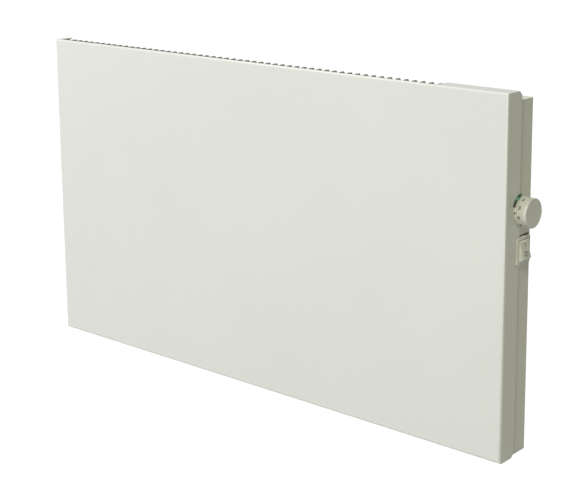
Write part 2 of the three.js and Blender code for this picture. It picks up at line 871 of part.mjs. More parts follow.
// ---- Rocker switch --------------------------------------------------------------------------------------
const housingBack = bezelFace - 24;
function switchHousing() {
  const bezelBack = caseHalf + fit;
  const y0 = switchY - bezelDepth / 2;
  const y1 = switchY + bezelDepth / 2;
  const z0 = switchZ - bezelHeight / 2;
  const z1 = switchZ + bezelHeight / 2;
  const corners = [[y0, switchZ], [y0, z0], [y1, z0], [y1, z1], [y0, z1], [y0, switchZ + 0.01]];
  const plate = prism(alongX, rounded(corners, () => 1.8, 3), bezelBack, bezelFace);
  const box = block(
    housingBack,
    bezelBack + 0.5,
    switchY - housingHalfY,
    switchY + housingHalfY,
    switchZ - housingHalfZ,
    switchZ + housingHalfZ,
  );
  const well = block(
    rockerPivotX - rockerRadius * 0.6,
    bezelFace + 1,
    switchY - rockerWidth / 2 - fit,
    switchY + rockerWidth / 2 + fit,
    switchZ - rockerRadius - fit,
    switchZ + rockerRadius + fit,
  );
  const pivots = cylinder(
    alongY,
    switchZ,
    rockerPivotX,
    1.5 + fit,
    switchY - rockerWidth / 2 - fit - 0.9,
    switchY + rockerWidth / 2 + fit + 0.9,
    16,
  );
  const tab = (z) => block(housingBack - 7, housingBack + 1, switchY - 2.4, switchY + 2.4, z - 0.4, z + 0.4);
  return joined(cutBy(joined(plate, box), well, pivots), tab(switchZ - 7), tab(switchZ + 7));
}
piece('switch_housing', switchHousing(), whitePlastic);

// The rocker's ends are arcs about its pivot, so they keep their gap while it tips. Its face is dished.
function switchRocker() {
  const tilt = THREE.MathUtils.degToRad(rockerTilt);
  const at = (up, out) => [
    switchZ + up * Math.cos(tilt) + out * Math.sin(tilt),
    rockerPivotX + out * Math.cos(tilt) - up * Math.sin(tilt),
  ];
  const edge = Math.atan2(rockerHalf, rockerStand);
  const skirt = THREE.MathUtils.degToRad(102);
  const end = (side) =>
    [0, 0.25, 0.5, 0.75, 1].map((share) => {
      const angle = skirt + (edge - skirt) * share;
      return at(side * rockerRadius * Math.sin(angle), rockerRadius * Math.cos(angle));
    });
  const face = [0.7, 0.4, 0, -0.4, -0.7].map((share) =>
    at(rockerHalf * share, rockerStand - rockerDish * (1 - share * share)),
  );
  const outline = [...end(1), ...face, ...end(-1).reverse()];
  const body = prism(alongY, outline, switchY - rockerWidth / 2, switchY + rockerWidth / 2);
  const stub = 0.8;
  const pins = cylinder(
    alongY,
    switchZ,
    rockerPivotX,
    1.5,
    switchY - rockerWidth / 2 - stub,
    switchY + rockerWidth / 2 + stub,
    16,
  );
  return body.add(pins);
}
piece('switch_rocker', switchRocker(), whitePlastic);

// ---- Supply side ----------------------------------------------------------------------------------------
const terminalX = partitionX + terminalInset;
const terminalZ = glandZ + terminalRise;
const entryY = seatY - entryInset;
const terminalWays = [-terminalStep, 0, terminalStep];
function terminalBlock() {
  const left = terminalX - terminalHalf;
  const right = terminalX + terminalHalf;
  const bodySolid = block(left, right, seatY - 15, seatY, terminalZ - 22, terminalZ + 22);
  const ways = terminalWays.map((dz) =>
    cylinder(alongY, terminalZ + dz, terminalX, 2.6, seatY - 16, seatY - 9, 10),
  );
  const entries = terminalWays.map((dz) =>
    cylinder(alongX, entryY, terminalZ + dz, 2, left - 1, right + 1, 8),
  );
  return cutBy(bodySolid, ...ways, ...entries);
}
piece('terminal_block', terminalBlock(), ceramic);
terminalWays.forEach((dz, i) => {
  const clamp = cylinder(alongY, terminalZ + dz, terminalX, 2.6 - fit, seatY - 13.5, seatY - 9 - fit, 10);
  piece(`terminal_screw_${i + 1}`, clamp, brass);
});

const flangeOut = bodyDepth + fit;
const flangeIn = backInner - fit;
piece(
  'cable_gland',
  turned(
    alongY,
    [
      [4, flangeOut + 6],
      [6, flangeOut + 6],
      [glandHole + 2.5, flangeOut + 2],
      [glandHole + 2.5, flangeOut],
      [glandHole - fit, flangeOut],
      [glandHole - fit, flangeIn],
      [glandHole + 1.6, flangeIn],
      [glandHole + 0.6, flangeIn - 5],
      [4, flangeIn - 5],
    ],
    glandZ,
    glandX,
    20,
  ),
  darkPlastic,
);

const earthX = terminalX + 24;
const earthZ = terminalZ + 40;
piece('earth_screw', screw(alongY, earthZ, earthX, seatY - 3, 3), brass);

// Each wire starts and ends with the usual clearance to its terminal.
const wireRadius = 1.1;
const pinLeft = leftBracketX - rodOverhang - pinLength;
const pinRight = rightBracketX + rodOverhang + pinLength;
const tabY = baffleFront - tabReach;
const entryLeft = terminalX - terminalHalf - fit;
const entryRight = terminalX + terminalHalf + fit;
piece(
  'wire_cutout_to_element',
  tube(
    [
      [cutoutX + 3.5, tabY, cutoutZ],
      [cutoutX + wireSlack, tabY - 2, cutoutZ - 0.7 * wireSlack],
      [pinRight + 2.5, elementY + 4, elementZ + wireDrop],
      [pinRight + 2.5, elementY, elementZ + 0.4 * wireDrop],
      [pinRight + 2.5, elementY, elementZ + 1],
    ],
    wireRadius,
    6,
    16,
  ),
  wireRed,
);
piece(
  'wire_thermostat_to_cutout',
  tube(
    [
      [bodyX0 - 8.5, controlY - 7.6, controlZ - 5.5],
      [partitionX + 20, controlY - 4, controlZ - 30],
      [partitionX + 8, throughY, throughZ + 14],
      [partitionX + 2, throughY, throughZ + 1],
      [partitionX - 12, throughY - 4, throughZ + 4],
      [cutoutX + 12, tabY - 4, cutoutZ + 8],
      [cutoutX - 3.5, tabY, cutoutZ],
    ],
    wireRadius,
    6,
    26,
  ),
  wireRed,
);
piece(
  'wire_switch_to_thermostat',
  tube(
    [
      [housingBack - 8.5, switchY, switchZ + 7],
      [housingBack - 20, switchY + 3, switchZ + 14],
      [bodyX0 - 14, controlY + 7, controlZ - 18],
      [bodyX0 - 13, controlY + 7.6, controlZ - 8],
      [bodyX0 - 8.4, controlY + 7.6, controlZ - 5.5],
    ],
    wireRadius,
    6,
    18,
  ),
  wireRed,
);
piece(
  'wire_supply_to_switch',
  tube(
    [
      [entryRight, entryY, terminalZ + terminalStep],
      [entryRight + 11, entryY - 1, terminalZ + terminalStep + 4],
      [housingBack - 16, switchY + 2, (terminalZ + switchZ) / 2],
      [housingBack - 14, switchY, switchZ - 14],
      [housingBack - 8.5, switchY, switchZ - 7],
    ],
    wireRadius,
    6,
    18,
  ),
  wireRed,
);
piece(
  'wire_neutral',
  tube(
    [
      [pinLeft - 2.5, elementY, elementZ - 1],
      [pinLeft - 2.5, elementY + 3, elementZ - 20],
      [pinLeft + 4, neutralY - 4, neutralZ + 14],
      [leftBracketX + 30, neutralY, neutralZ],
      [0, neutralY, neutralZ],
      [partitionX - 30, neutralY, neutralZ],
      [partitionX - 8, neutralY, neutralZ],
      [partitionX + 5, neutralY, neutralZ + 3],
      [entryLeft - 6, neutralY, neutralZ + 30],
      [entryLeft - 7, entryY - 1, terminalZ - 6],
      [entryLeft, entryY, terminalZ],
    ],
    wireRadius,
    6,
    60,
  ),
  wireBlue,
);
piece(
  'wire_earth',
  tube(
    [
      [entryRight, entryY, terminalZ - terminalStep],
      [entryRight + 9, entryY - 2, terminalZ - 8],
      [earthX + 3, entryY - 3, terminalZ + 20],
      [earthX, entryY - 2, earthZ - 10],
      [earthX, entryY, earthZ],
    ],
    wireRadius,
    6,
    18,
  ),
  wireEarth,
);

// ---- Case screws and panel clips ------------------------------------------------------------------------
caseScrewXs.forEach((x, i) => {
  piece(`case_screw_${i + 1}`, screw(alongZ, x, caseScrewY, -fit, caseFloor + 5), steel);
});

// Spring clips on the casing's lip hold the top flange of the panel.
function panelClip(x) {
  const gap = fit;
  const lipTop = caseTop + caseLipRise;
  const sheet = 0.6;
  const under = panelHeight - panelSheet - fit;
  const path = [
    [lipY + caseSheet + gap + sheet, caseTop + gap],
    [lipY + caseSheet + gap + sheet, lipTop + gap + sheet],
    [lipY - gap - sheet, lipTop + gap + sheet],
    [lipY - gap - sheet, caseTop - 1],
  ];
  const saddle = prism(alongX, folded(path, sheet, 0.1, 1), x - 7, x + 7);
  const tongue = block(x - 4, x + 4, lipY - gap - sheet - 8, lipY - gap, under - sheet, under);
  const riser = block(x - 4, x + 4, lipY - gap - sheet, lipY - gap, lipTop - 1, under);
  return joined(saddle, tongue, riser);
}
piece('panel_clip', panelClip(halfWidth - controlWidth / 3), galvanised);

// ---- Wall bracket ---------------------------------------------------------------------------------------
const bracketFront = bodyDepth + fit;
function wallBracket() {
  const half = uprightWidth / 2;
  const upright = (x) => {
    const path = [
      [x - half + uprightLip, bracketFront],
      [x - half, bracketFront],
      [x - half, wallY],
      [x + half, wallY],
      [x + half, bracketFront],
      [x + half - uprightLip, bracketFront],
    ];
    return prism(alongZ, folded(path.reverse(), bracketSheet, 0.8, 2), bracketBottom, bracketTop);
  };
  const shelf = (x) =>
    block(
      x - half + bracketSheet / 2,
      x + half - bracketSheet / 2,
      bracketFront + 8,
      wallY - bracketSheet / 2,
      springShelf - bracketSheet,
      springShelf,
    );
  const stop = (x) =>
    block(
      x - half + bracketSheet / 2,
      x + half - bracketSheet / 2,
      wallY - bracketSheet - 9,
      wallY - bracketSheet / 2,
      catchTop + fit,
      catchTop + fit + bracketSheet,
    );
  const hook = (x) =>
    prism(
      alongX,
      [
        [bracketFront + 4, hookZ],
        [hookReach - fit - 2, hookZ],
        [hookReach - fit - 2, hookZ + hookStub + hookLift - 1],
        [hookReach - fit - 1, hookZ + hookStub + hookLift],
        [hookReach - fit, hookZ + hookStub + hookLift],
        [hookReach - fit, hookZ + hookStub],
        [bracketFront + 4, hookZ + hookStub],
      ],
      hookX(x) - bracketSheet / 2,
      hookX(x) + bracketSheet / 2,
    );
  const barBack = wallY;
  const barFold = wallY - 10;
  const low = crossbarZ - crossbarHeight / 2;
  const high = crossbarZ + crossbarHeight / 2;
  const barPath = [[barFold, low], [barBack, low], [barBack, high], [barFold, high]];
  const reach = bracketSpan / 2 - half + bracketSheet / 2;
  const crossbar = prism(alongX, folded(barPath, bracketSheet, 0.8, 2), -reach, reach);
  const fixing = (x, z) => cylinder(alongY, z, x, 3, wallY - bracketSheet - 1, wallY + 1, 12);
  const fixings = uprightXs.flatMap((x) => [
    fixing(x, bracketBottom + 14),
    fixing(x, springShelf - 14),
  ]);
  const sides = uprightXs.flatMap((x) => [upright(x), shelf(x), stop(x), hook(x)]);
  return cutBy(joined(...sides, crossbar), ...fixings);
}

// The catch slides in the upright. Its nose grips the casing over the slot's edge; a spring lifts it.
const springY = (bracketFront + 8 + wallY - bracketSheet) / 2 + 1;
piece('wall_bracket', wallBracket(), galvanised);

function slidingCatch(x) {
  const half = uprightWidth / 2 - bracketSheet - fit;
  const front = bracketFront + bracketSheet + fit;
  const rear = wallY - bracketSheet - fit;
  const bodySolid = block(x - half, x + half, front, rear, catchBottom, catchTop);
  const nose = prism(
    alongX,
    [
      [front + 1, catchZ],
      [hookReach - fit - 2, catchZ],
      [hookReach - fit - 2, catchZ + hookStub + catchStroke - 3],
      [hookReach - fit, catchZ + hookStub + catchStroke - 1.5],
      [hookReach - fit, catchZ + hookStub],
      [front + 1, catchZ + hookStub],
    ],
    x - catchNose / 2,
    x + catchNose / 2,
  );
  const hollow = block(x - half + 2, x + half - 2, front + 3, rear - 12, catchBottom - 1, catchZ - 4);
  const thumbTop = catchTop + thumbLength;
  const thumb = prism(
    alongX,
    [
      [front, catchTop - 1],
      [front + 5, catchTop - 1],
      [front + 5, thumbTop - 4],
      [front + 9, thumbTop],
      [front + 2, thumbTop],
      [front, thumbTop - 2],
    ],
    x - catchNose / 2,
    x + catchNose / 2,
  );
  return cutBy(joined(bodySolid, nose, thumb), hollow);
}

function catchSpring(x) {
  const radius = 4;
  const steps = springTurns * 8;
  const z0 = springShelf + fit + springWire;
  const z1 = catchBottom - fit - springWire;
  const turns = Array.from({ length: steps + 1 }, (_, i) => {
    const angle = (2 * Math.PI * i) / 8;
    return [
      x + radius * Math.cos(angle),
      springY + radius * Math.sin(angle),
      z0 + ((z1 - z0) * i) / steps,
    ];
  });
  return tube(turns, springWire, 5, steps);
}

[['left', uprightXs[0]], ['right', uprightXs[1]]].forEach(([side, x]) => {
  piece(`bracket_catch_${side}`, slidingCatch(x), darkPlastic);
  piece(`catch_spring_${side}`, catchSpring(x), steel);
});

heater.position.set(0, -wallY, -crossbarZ);
const model = new THREE.Group();
model.add(heater);
model.updateMatrixWorld(true);

export default model;
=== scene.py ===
import math

import bmesh
import bpy
from mathutils import Matrix, Vector


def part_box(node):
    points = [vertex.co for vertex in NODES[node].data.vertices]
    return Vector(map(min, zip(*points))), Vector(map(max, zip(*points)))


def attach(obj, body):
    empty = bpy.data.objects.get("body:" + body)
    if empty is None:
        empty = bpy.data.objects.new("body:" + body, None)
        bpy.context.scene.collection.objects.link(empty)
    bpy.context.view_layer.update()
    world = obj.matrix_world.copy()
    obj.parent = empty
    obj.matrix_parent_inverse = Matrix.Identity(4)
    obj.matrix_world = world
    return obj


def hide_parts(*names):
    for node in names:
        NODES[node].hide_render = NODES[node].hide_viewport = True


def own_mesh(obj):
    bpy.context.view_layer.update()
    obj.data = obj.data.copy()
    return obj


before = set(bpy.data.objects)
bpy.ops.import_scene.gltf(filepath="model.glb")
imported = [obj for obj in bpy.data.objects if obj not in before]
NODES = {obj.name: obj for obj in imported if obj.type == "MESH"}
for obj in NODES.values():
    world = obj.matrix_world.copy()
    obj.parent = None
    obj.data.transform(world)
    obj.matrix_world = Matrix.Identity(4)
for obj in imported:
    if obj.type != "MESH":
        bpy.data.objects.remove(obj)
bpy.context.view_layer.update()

scene = bpy.context.scene
MM = 0.001


# ---- Places read from the frame -------------------------------------------------------------------------
def corners(node):
    """Lowest and highest corner of a CAD node as two vectors."""
    low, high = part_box(node)
    return Vector(low), Vector(high)


panel_low, panel_high = corners("front_panel")
knob_low, knob_high = corners("thermostat_knob")
collar_low, collar_high = corners("thermostat_collar")
KNOB_AXIS = (knob_low + knob_high) / 2
KNOB_RADIUS = (knob_high.z - knob_low.z) / 2
COLLAR_RADIUS = (collar_high.z - collar_low.z) / 2


# ---- Shader maths ---------------------------------------------------------------------------------------
class Wire:
    """A node's output. The operators * and < on it add Math nodes."""

    def __init__(self, finish, socket):
        self.finish = finish
        self.socket = socket

    def maths(self, operation, other):
        return self.finish.node("ShaderNodeMath", {"operation": operation}, {0: self, 1: other})

    def __mul__(self, other):
        return self.maths("MULTIPLY", other)

    def __lt__(self, other):
        return self.maths("LESS_THAN", other)

    def larger(self, other):
        return self.maths("MAXIMUM", other)


class Finish:
    """One material and the nodes that make its surface."""

    def __init__(self, name):
        self.material = bpy.data.materials.new(name)
        self.material.use_nodes = True
        self.tree = self.material.node_tree
        self.tree.nodes.clear()
        self.end = self.tree.nodes.new("ShaderNodeOutputMaterial")

    def node(self, kind, settings=None, values=None, output=0):
        """Adds a node, sets it up, fills or links its inputs, and gives one of its outputs."""
        made = self.tree.nodes.new(kind)
        for key, setting in (settings or {}).items():
            if key == "stops":
                ramp = made.color_ramp.elements
                while len(ramp) < len(setting):
                    ramp.new(0.5)
                for stop, (place, colour) in zip(ramp, setting):
                    stop.position = place
                    stop.color = (*colour, 1.0)
            else:
                setattr(made, key, setting)
        for key, value in (values or {}).items():
            if isinstance(value, Wire):
                self.tree.links.new(value.socket, made.inputs[key])
            else:
                made.inputs[key].default_value = value
        return Wire(self, made.outputs[output])

    def place(self, scale=(1, 1, 1), turn=(0, 0, 0)):
        """Object coordinates in metres, scaled and turned."""
        at = self.node("ShaderNodeTexCoord", output="Object")
        return self.node("ShaderNodeMapping", None, {"Vector": at, "Scale": scale, "Rotation": turn})

    def cloud(self, vector, per_metre, detail=3.0, roughness=0.5):
        """Soft noise with so many lumps in a metre."""
        values = {"Vector": vector, "Scale": per_metre, "Detail": detail, "Roughness": roughness}
        return self.node("ShaderNodeTexNoise", None, values)

    def cells(self, vector, per_metre, output="Distance"):
        """Round cells, so many in a metre."""
        return self.node("ShaderNodeTexVoronoi", None, {"Vector": vector, "Scale": per_metre}, output)

    def blended(self, factor, first, second):
        """A colour between two, by a factor."""
        values = {0: factor, 6: first, 7: second}
        return self.node("ShaderNodeMix", {"data_type": "RGBA"}, values, 2)

    def spread(self, factor, low, high, to_low, to_high):
        """A number moved from one range to another."""
        values = {0: factor, 1: low, 2: high, 3: to_low, 4: to_high}
        return self.node("ShaderNodeMapRange", {"clamp": True}, values)

    def bump(self, height, depth_mm, strength, over=None):
        """A relief so deep, on top of another one if given."""
        values = {"Height": height, "Distance": depth_mm * MM, "Strength": strength}
        if over is not None:
            values["Normal"] = over
        return self.node("ShaderNodeBump", None, values)

    def surface(self, **sockets):
        """Ends the material in one Principled shader, with a keyword for each socket it sets."""
        values = {}
        for key, value in sockets.items():
            values[key.replace("_", " ").title().replace("Ior", "IOR")] = value
        shader = self.node("ShaderNodeBsdfPrincipled", None, values)
        self.tree.links.new(shader.socket, self.end.inputs["Surface"])
        return self.material


def tone(red, green, blue, scale=1.0):
    """A colour for a socket, brighter or darker by scale."""
    return (red * scale, green * scale, blue * scale, 1.0)


# ---- Finishes -------------------------------------------------------------------------------------------
PAINT = (0.765, 0.775, 0.73)
NIB_RADIUS = 1.1 * MM


def powder_coat(name, colour=PAINT, peel=1.0, nibs=()):
    """Satin powder coat: fine orange peel, a faint unevenness and a few nibs of dust under the coat."""
    coat = Finish(name)
    at = coat.place()
    broad = coat.cloud(at, 5.0, 2.0)
    fine = coat.cloud(at, 900.0, 2.0, 0.6)
    lumps = coat.cloud(at, 420.0, 1.0, 0.4)
    speck = coat.cells(at, 160.0) < 0.035
    shade = coat.blended(coat.spread(broad, 0.3, 0.7, 0.0, 1.0), tone(*colour, 0.985), tone(*colour, 1.012))
    worn = coat.blended(speck * 0.06, shade, tone(0.45, 0.43, 0.38))
    for spot in nibs:
        away = coat.node("ShaderNodeVectorMath", {"operation": "DISTANCE"}, {0: at, 1: spot}, "Value")
        worn = coat.blended((away < NIB_RADIUS) * 0.2, worn, tone(0.42, 0.41, 0.37))
    relief = coat.bump(fine, 0.012 * peel, 0.5)
    relief = coat.bump(lumps, 0.03 * peel, 0.5, relief)
    rough = coat.spread(lumps, 0.3, 0.7, 0.31, 0.38)
    return coat.surface(base_color=worn, roughness=rough, normal=relief, specular_ior_level=0.45)


def moulding(name, colour, low, high, grain=0.012, sheen=0.4):
    """Moulded plastic with a fine spark-eroded grain and slight flow marks."""
    mould = Finish(name)
    at = mould.place()
    grains = mould.cells(at, 2400.0)
    flow = mould.cloud(mould.place((1, 1, 6)), 60.0, 3.0)
    shade = mould.blended(mould.spread(flow, 0.35, 0.65, 0.0, 1.0), tone(*colour, 0.97), tone(*colour, 1.02))
    rough = mould.spread(flow, 0.3, 0.7, low, high)
    relief = mould.bump(grains, grain, 0.4)
    return mould.surface(base_color=shade, roughness=rough, normal=relief, specular_ior_level=sheen)


def zinc_plate(name):
    """Zinc-coated sheet: spangle in soft cells, with faint rolling lines."""
    zinc = Finish(name)
    at = zinc.place()
    spangle = zinc.cells(at, 130.0, "Color")
    grey = zinc.node("ShaderNodeRGBToBW", None, {0: spangle})
    lines = zinc.cloud(zinc.place((900, 900, 6)), 1.0, 2.0)
    shade = zinc.blended(grey, tone(0.50, 0.52, 0.54), tone(0.66, 0.67, 0.68))
    dull = zinc.blended(zinc.spread(lines, 0.4, 0.7, 0.0, 0.35), shade, tone(0.42, 0.43, 0.44))
    rough = zinc.spread(grey, 0.2, 0.8, 0.34, 0.5)
    return zinc.surface(base_color=dull, metallic=0.85, roughness=rough, normal=zinc.bump(lines, 0.01, 0.3))


def drawn_metal(name, colour, along=(1, 60, 60), low=0.25, high=0.4):
    """Drawn or turned metal with fine lines along its length."""
    metal = Finish(name)
    lines = metal.cloud(metal.place(along), 40.0, 4.0, 0.6)
    stain = metal.cloud(metal.place(), 30.0, 2.0)
    shade = metal.blended(metal.spread(stain, 0.35, 0.7, 0.0, 1.0), tone(*colour, 0.85), tone(*colour))
    rough = metal.spread(lines, 0.3, 0.7, low, high)
    relief = metal.bump(lines, 0.01, 0.4)
    return metal.surface(base_color=shade, metallic=1.0, roughness=rough, normal=relief)


def heated_steel(name):
    """Element sheath: steel turned brown and blue by heat, in soft patches."""
    sheath = Finish(name)
    at = sheath.place()
    cloud = sheath.cloud(at, 24.0, 3.0)
    hue = sheath.node(
        "ShaderNodeValToRGB",
        {"stops": [(0.3, (0.30, 0.24, 0.18)), (0.55, (0.34, 0.31, 0.29)), (0.75, (0.22, 0.24, 0.30))]},
        {0: cloud},
    )
    rough = sheath.spread(cloud, 0.3, 0.7, 0.3, 0.5)
    return sheath.surface(base_color=hue, metallic=0.9, roughness=rough)


def steatite(name):
    """Unglazed insulator ceramic: cream, finely pitted."""
    body = Finish(name)
    at = body.place()
    pits = body.cells(at, 1500.0)
    stain = body.cloud(at, 90.0, 4.0)
    stained = body.spread(stain, 0.4, 0.7, 0.0, 0.5)
    shade = body.blended(stained, tone(0.80, 0.76, 0.68), tone(0.68, 0.62, 0.52))
    rough = body.spread(stain, 0.3, 0.7, 0.6, 0.75)
    return body.surface(base_color=shade, roughness=rough, normal=body.bump(pits, 0.02, 0.4))


def braided_sleeve(name, colour):
    """Heat-resistant braid over a wire: two sets of crossing threads, with painted shade in the gaps between
    them.
    """
    braid = Finish(name)
    one = braid.place((1, 1, 1), (0.6, 0.4, 0.78))
    other = braid.place((1, 1, 1), (-0.6, 0.5, -0.78))
    wave = {"wave_type": "BANDS", "bands_direction": "X"}
    first = braid.node("ShaderNodeTexWave", wave, {"Vector": one, "Scale": 520.0})
    second = braid.node("ShaderNodeTexWave", wave, {"Vector": other, "Scale": 520.0})
    weave = first.larger(second)
    # Painted shade: the colour falls to 0.6 of itself where the weave is low, between the threads.
    shade = braid.blended(weave, tone(*colour, 0.6), tone(*colour))
    rough = braid.spread(weave, 0.0, 1.0, 0.8, 0.6)
    return braid.surface(base_color=shade, roughness=rough, normal=braid.bump(weave, 0.05, 0.5))


def printed_ink(name, colour):
    """Pad-printed ink, slightly uneven in cover."""
    ink = Finish(name)
    cover = ink.cloud(ink.place(), 1800.0, 3.0)
    shade = ink.blended(ink.spread(cover, 0.45, 0.75, 0.0, 0.35), tone(*colour), tone(*colour, 1.8))
    return ink.surface(base_color=shade, roughness=ink.spread(cover, 0.3, 0.7, 0.4, 0.55))


# Heights and distances from the lamp: the painted glow's bright middle and its edge, and where painted shade
# of the knob darkens the lens.
GLOW_MIDDLE, GLOW_EDGE = 0.3 * MM, 2.2 * MM
PAINTED_SHADE_FULL, PAINTED_SHADE_END = 3.2 * MM, 1.4 * MM


def lamp_lens(name, lamp):
    """Green moulded lens, with a painted glow round the lamp spot and painted shade of the knob darkening
    its lower end to brown.
    """
    lens = Finish(name)
    at = lens.place()
    away = lens.node("ShaderNodeVectorMath", {"operation": "DISTANCE"}, {0: at, 1: lamp}, "Value")
    # Painted glow: round the lamp spot the lens turns light green and emits light, though it is no lamp
    # itself.
    glow = lens.spread(away, GLOW_MIDDLE, GLOW_EDGE, 1.0, 0.0)
    ribs = lens.cells(at, 700.0)
    height = lens.node("ShaderNodeSeparateXYZ", None, {0: at}, "Z")
    # Painted shade: lower down, the lens is darkened to brown, for the knob's shade on its lower end.
    clear = lens.spread(height, lamp.z - PAINTED_SHADE_FULL, lamp.z - PAINTED_SHADE_END, 0.0, 1.0)
    body = lens.blended(clear, tone(0.06, 0.035, 0.024), tone(0.010, 0.095, 0.04))
    shade = lens.blended(glow, body, tone(0.10, 0.40, 0.20))
    light = lens.blended(glow, tone(0.0, 0.008, 0.003), tone(0.13, 0.50, 0.27))
    rough = lens.spread(ribs, 0.0, 1.0, 0.12, 0.25)
    return lens.surface(
        base_color=shade, roughness=rough, emission_color=light, emission_strength=0.55,
        normal=lens.bump(ribs, 0.05, 0.3), coat_weight=0.4, coat_roughness=0.08,
    )


lens_low, lens_high = corners("indicator_lens")
lamp_low, lamp_high = corners("indicator_lamp")
LAMP_SPOT = Vector((lens_high.x, (lamp_low.y + lamp_high.y) / 2, (lamp_low.z + lamp_high.z) / 2))

FRONT_NIBS = ((-0.2296, panel_low.y, 0.0857), (-0.1368, panel_low.y, -0.1384))
paint_front = powder_coat("powder_coat_front", nibs=FRONT_NIBS)
paint_case = powder_coat("powder_coat_casing", (0.745, 0.75, 0.665))
# The fins and their strips wear the panel's white powder coat; this grey is painted shade for the deep rows
# between the fins.
painted_shade_fin_paint = powder_coat("powder_coat_fins", (0.46, 0.46, 0.43), 0.6)
knob_plastic = moulding("knob_plastic", (0.785, 0.79, 0.75), 0.36, 0.44)
collar_plastic = moulding("collar_plastic", (0.765, 0.77, 0.725), 0.38, 0.46)
switch_plastic = moulding("switch_plastic", (0.82, 0.825, 0.765), 0.34, 0.42)
rocker_plastic = moulding("rocker_plastic", (0.765, 0.77, 0.725), 0.28, 0.36, 0.006)
phenolic = moulding("phenolic_black", (0.022, 0.021, 0.02), 0.4, 0.52)
nylon = moulding("nylon_black", (0.03, 0.03, 0.03), 0.45, 0.55)
lamp_grey = moulding("lamp_grey", (0.26, 0.27, 0.26), 0.3, 0.4)
green_lens = lamp_lens("green_lens", LAMP_SPOT)
ink_brown = printed_ink("ink_brown", (0.13, 0.115, 0.095))
ink_black = printed_ink("ink_black", (0.012, 0.012, 0.011))
ink_grey = printed_ink("ink_grey", (0.05, 0.05, 0.045))
ink_white = printed_ink("ink_white", (0.9, 0.9, 0.88))
zinc = zinc_plate("zinc_plate")
extruded = drawn_metal("extruded_aluminium", (0.76, 0.77, 0.78), (1, 50, 50), 0.3, 0.45)
plated_steel = drawn_metal("plated_steel", (0.60, 0.61, 0.62), (20, 20, 3), 0.25, 0.4)
spring_steel = drawn_metal("spring_steel", (0.52, 0.52, 0.53), (20, 20, 20), 0.22, 0.34)
brass = drawn_metal("brass", (0.72, 0.55, 0.26), (20, 20, 20), 0.25, 0.38)
copper = drawn_metal("copper", (0.72, 0.42, 0.28), (20, 20, 3), 0.28, 0.42)
sheath = heated_steel("element_sheath")
ceramic = steatite("steatite")
sleeve_brown = braided_sleeve("sleeve_brown", (0.26, 0.08, 0.05))
sleeve_blue = braided_sleeve("sleeve_blue", (0.04, 0.10, 0.30))
sleeve_green = braided_sleeve("sleeve_green_yellow", (0.20, 0.34, 0.05))


# ---- Making pieces --------------------------------------------------------------------------------------
SMOOTH_TO = 32
WELD = 1e-7


def shaded(mesh, smooth):
    """Smooth shading, but for edges sharper than so many degrees."""
    mesh.shade_smooth()
    mesh.set_sharp_from_angle(angle=math.radians(smooth))


def finished(name, source, material, smooth=SMOOTH_TO):
    """An object at the origin from a bmesh, which is used up."""
    mesh = bpy.data.meshes.new(name)
    source.to_mesh(mesh)
    source.free()
    mesh.materials.append(material)
    shaded(mesh, smooth)
    made = bpy.data.objects.new(name, mesh)
    scene.collection.objects.link(made)
    return made


def softened(made, edge_mm, angle=50, segments=2):
    """Breaks a piece's sharp edges, as deburring, paint or a mould does."""
    bevel = made.modifiers.new("broken_edges", "BEVEL")
    bevel.width = edge_mm * MM
    bevel.segments = segments
    bevel.limit_method = "ANGLE"
    bevel.angle_limit = math.radians(angle)
    even = made.modifiers.new("flat_faces_stay_flat", "WEIGHTED_NORMAL")
    even.keep_sharp = True
    return made


def as_plain_mesh(made, smooth=SMOOTH_TO):
    """Keeps what a piece's modifiers make of it as its mesh."""
    bpy.context.view_layer.update()
    whole = made.evaluated_get(bpy.context.evaluated_depsgraph_get())
    mesh = bpy.data.meshes.new_from_object(whole)
    mesh.name = made.name
    made.modifiers.clear()
    made.data = mesh
    shaded(mesh, smooth)


def seated(made, body, slot, *nodes):
    """Rides the piece on its body, and hides the nodes it stands for; slot is not used."""
    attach(made, body)
    if nodes:
        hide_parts(*nodes)


CAD_WELD = 2e-6
CAD_FLAT = math.radians(0.4)


def merged(node):
    """A copy of a CAD node's solid with its loose triangles joined into faces."""
    copy = bmesh.new()
    copy.from_mesh(NODES[node].data)
    bmesh.ops.remove_doubles(copy, verts=copy.verts, dist=CAD_WELD)
    bmesh.ops.dissolve_limit(copy, angle_limit=CAD_FLAT, verts=copy.verts, edges=copy.edges)
    return copy


def outward(mesh):
    """Turns the faces of a closed mesh outwards."""
    bmesh.ops.recalc_face_normals(mesh, faces=mesh.faces)
    return mesh


def grid_faces(mesh, rows, closed=False, ends=False):
    """Faces between rows of points, each row a closed ring if closed; ends fills the first and last ring."""
    rings = [[mesh.verts.new(point) for point in row] for row in rows]
    for low, high in zip(rings, rings[1:]):
        count = len(low)
        for i in range(count if closed else count - 1):
            j = (i + 1) % count
            mesh.faces.new((low[i], low[j], high[j], high[i]))
    if ends:
        mesh.faces.new(list(reversed(rings[0])))
        mesh.faces.new(rings[-1])


def round_angles(sides):
    """Angles all round, one for each side."""
    return [2 * math.pi * k / sides for k in range(sides)]


def ring_round_x(x, centre, radius, sides):
    """Points of a circle about an axis along X through centre."""
    return [
        (x, centre.y + radius * math.cos(angle), centre.z + radius * math.sin(angle))
        for angle in round_angles(sides)
    ]


def turned(profile, centre, sides, ends=True):
    """A mesh turned about an axis along X through centre, from (radius, x) points."""
    mesh = bmesh.new()
    rows = [ring_round_x(x, centre, radius, sides) for radius, x in profile]
    grid_faces(mesh, rows, closed=True, ends=ends)
    return mesh


def corner_arc(centre, radius, start, end, steps):
    """Points of an arc in a plane, angles in degrees."""
    angles = [math.radians(start + (end - start) * k / steps) for k in range(steps + 1)]
    return [(centre[0] + radius * math.cos(a), centre[1] + radius * math.sin(a)) for a in angles]


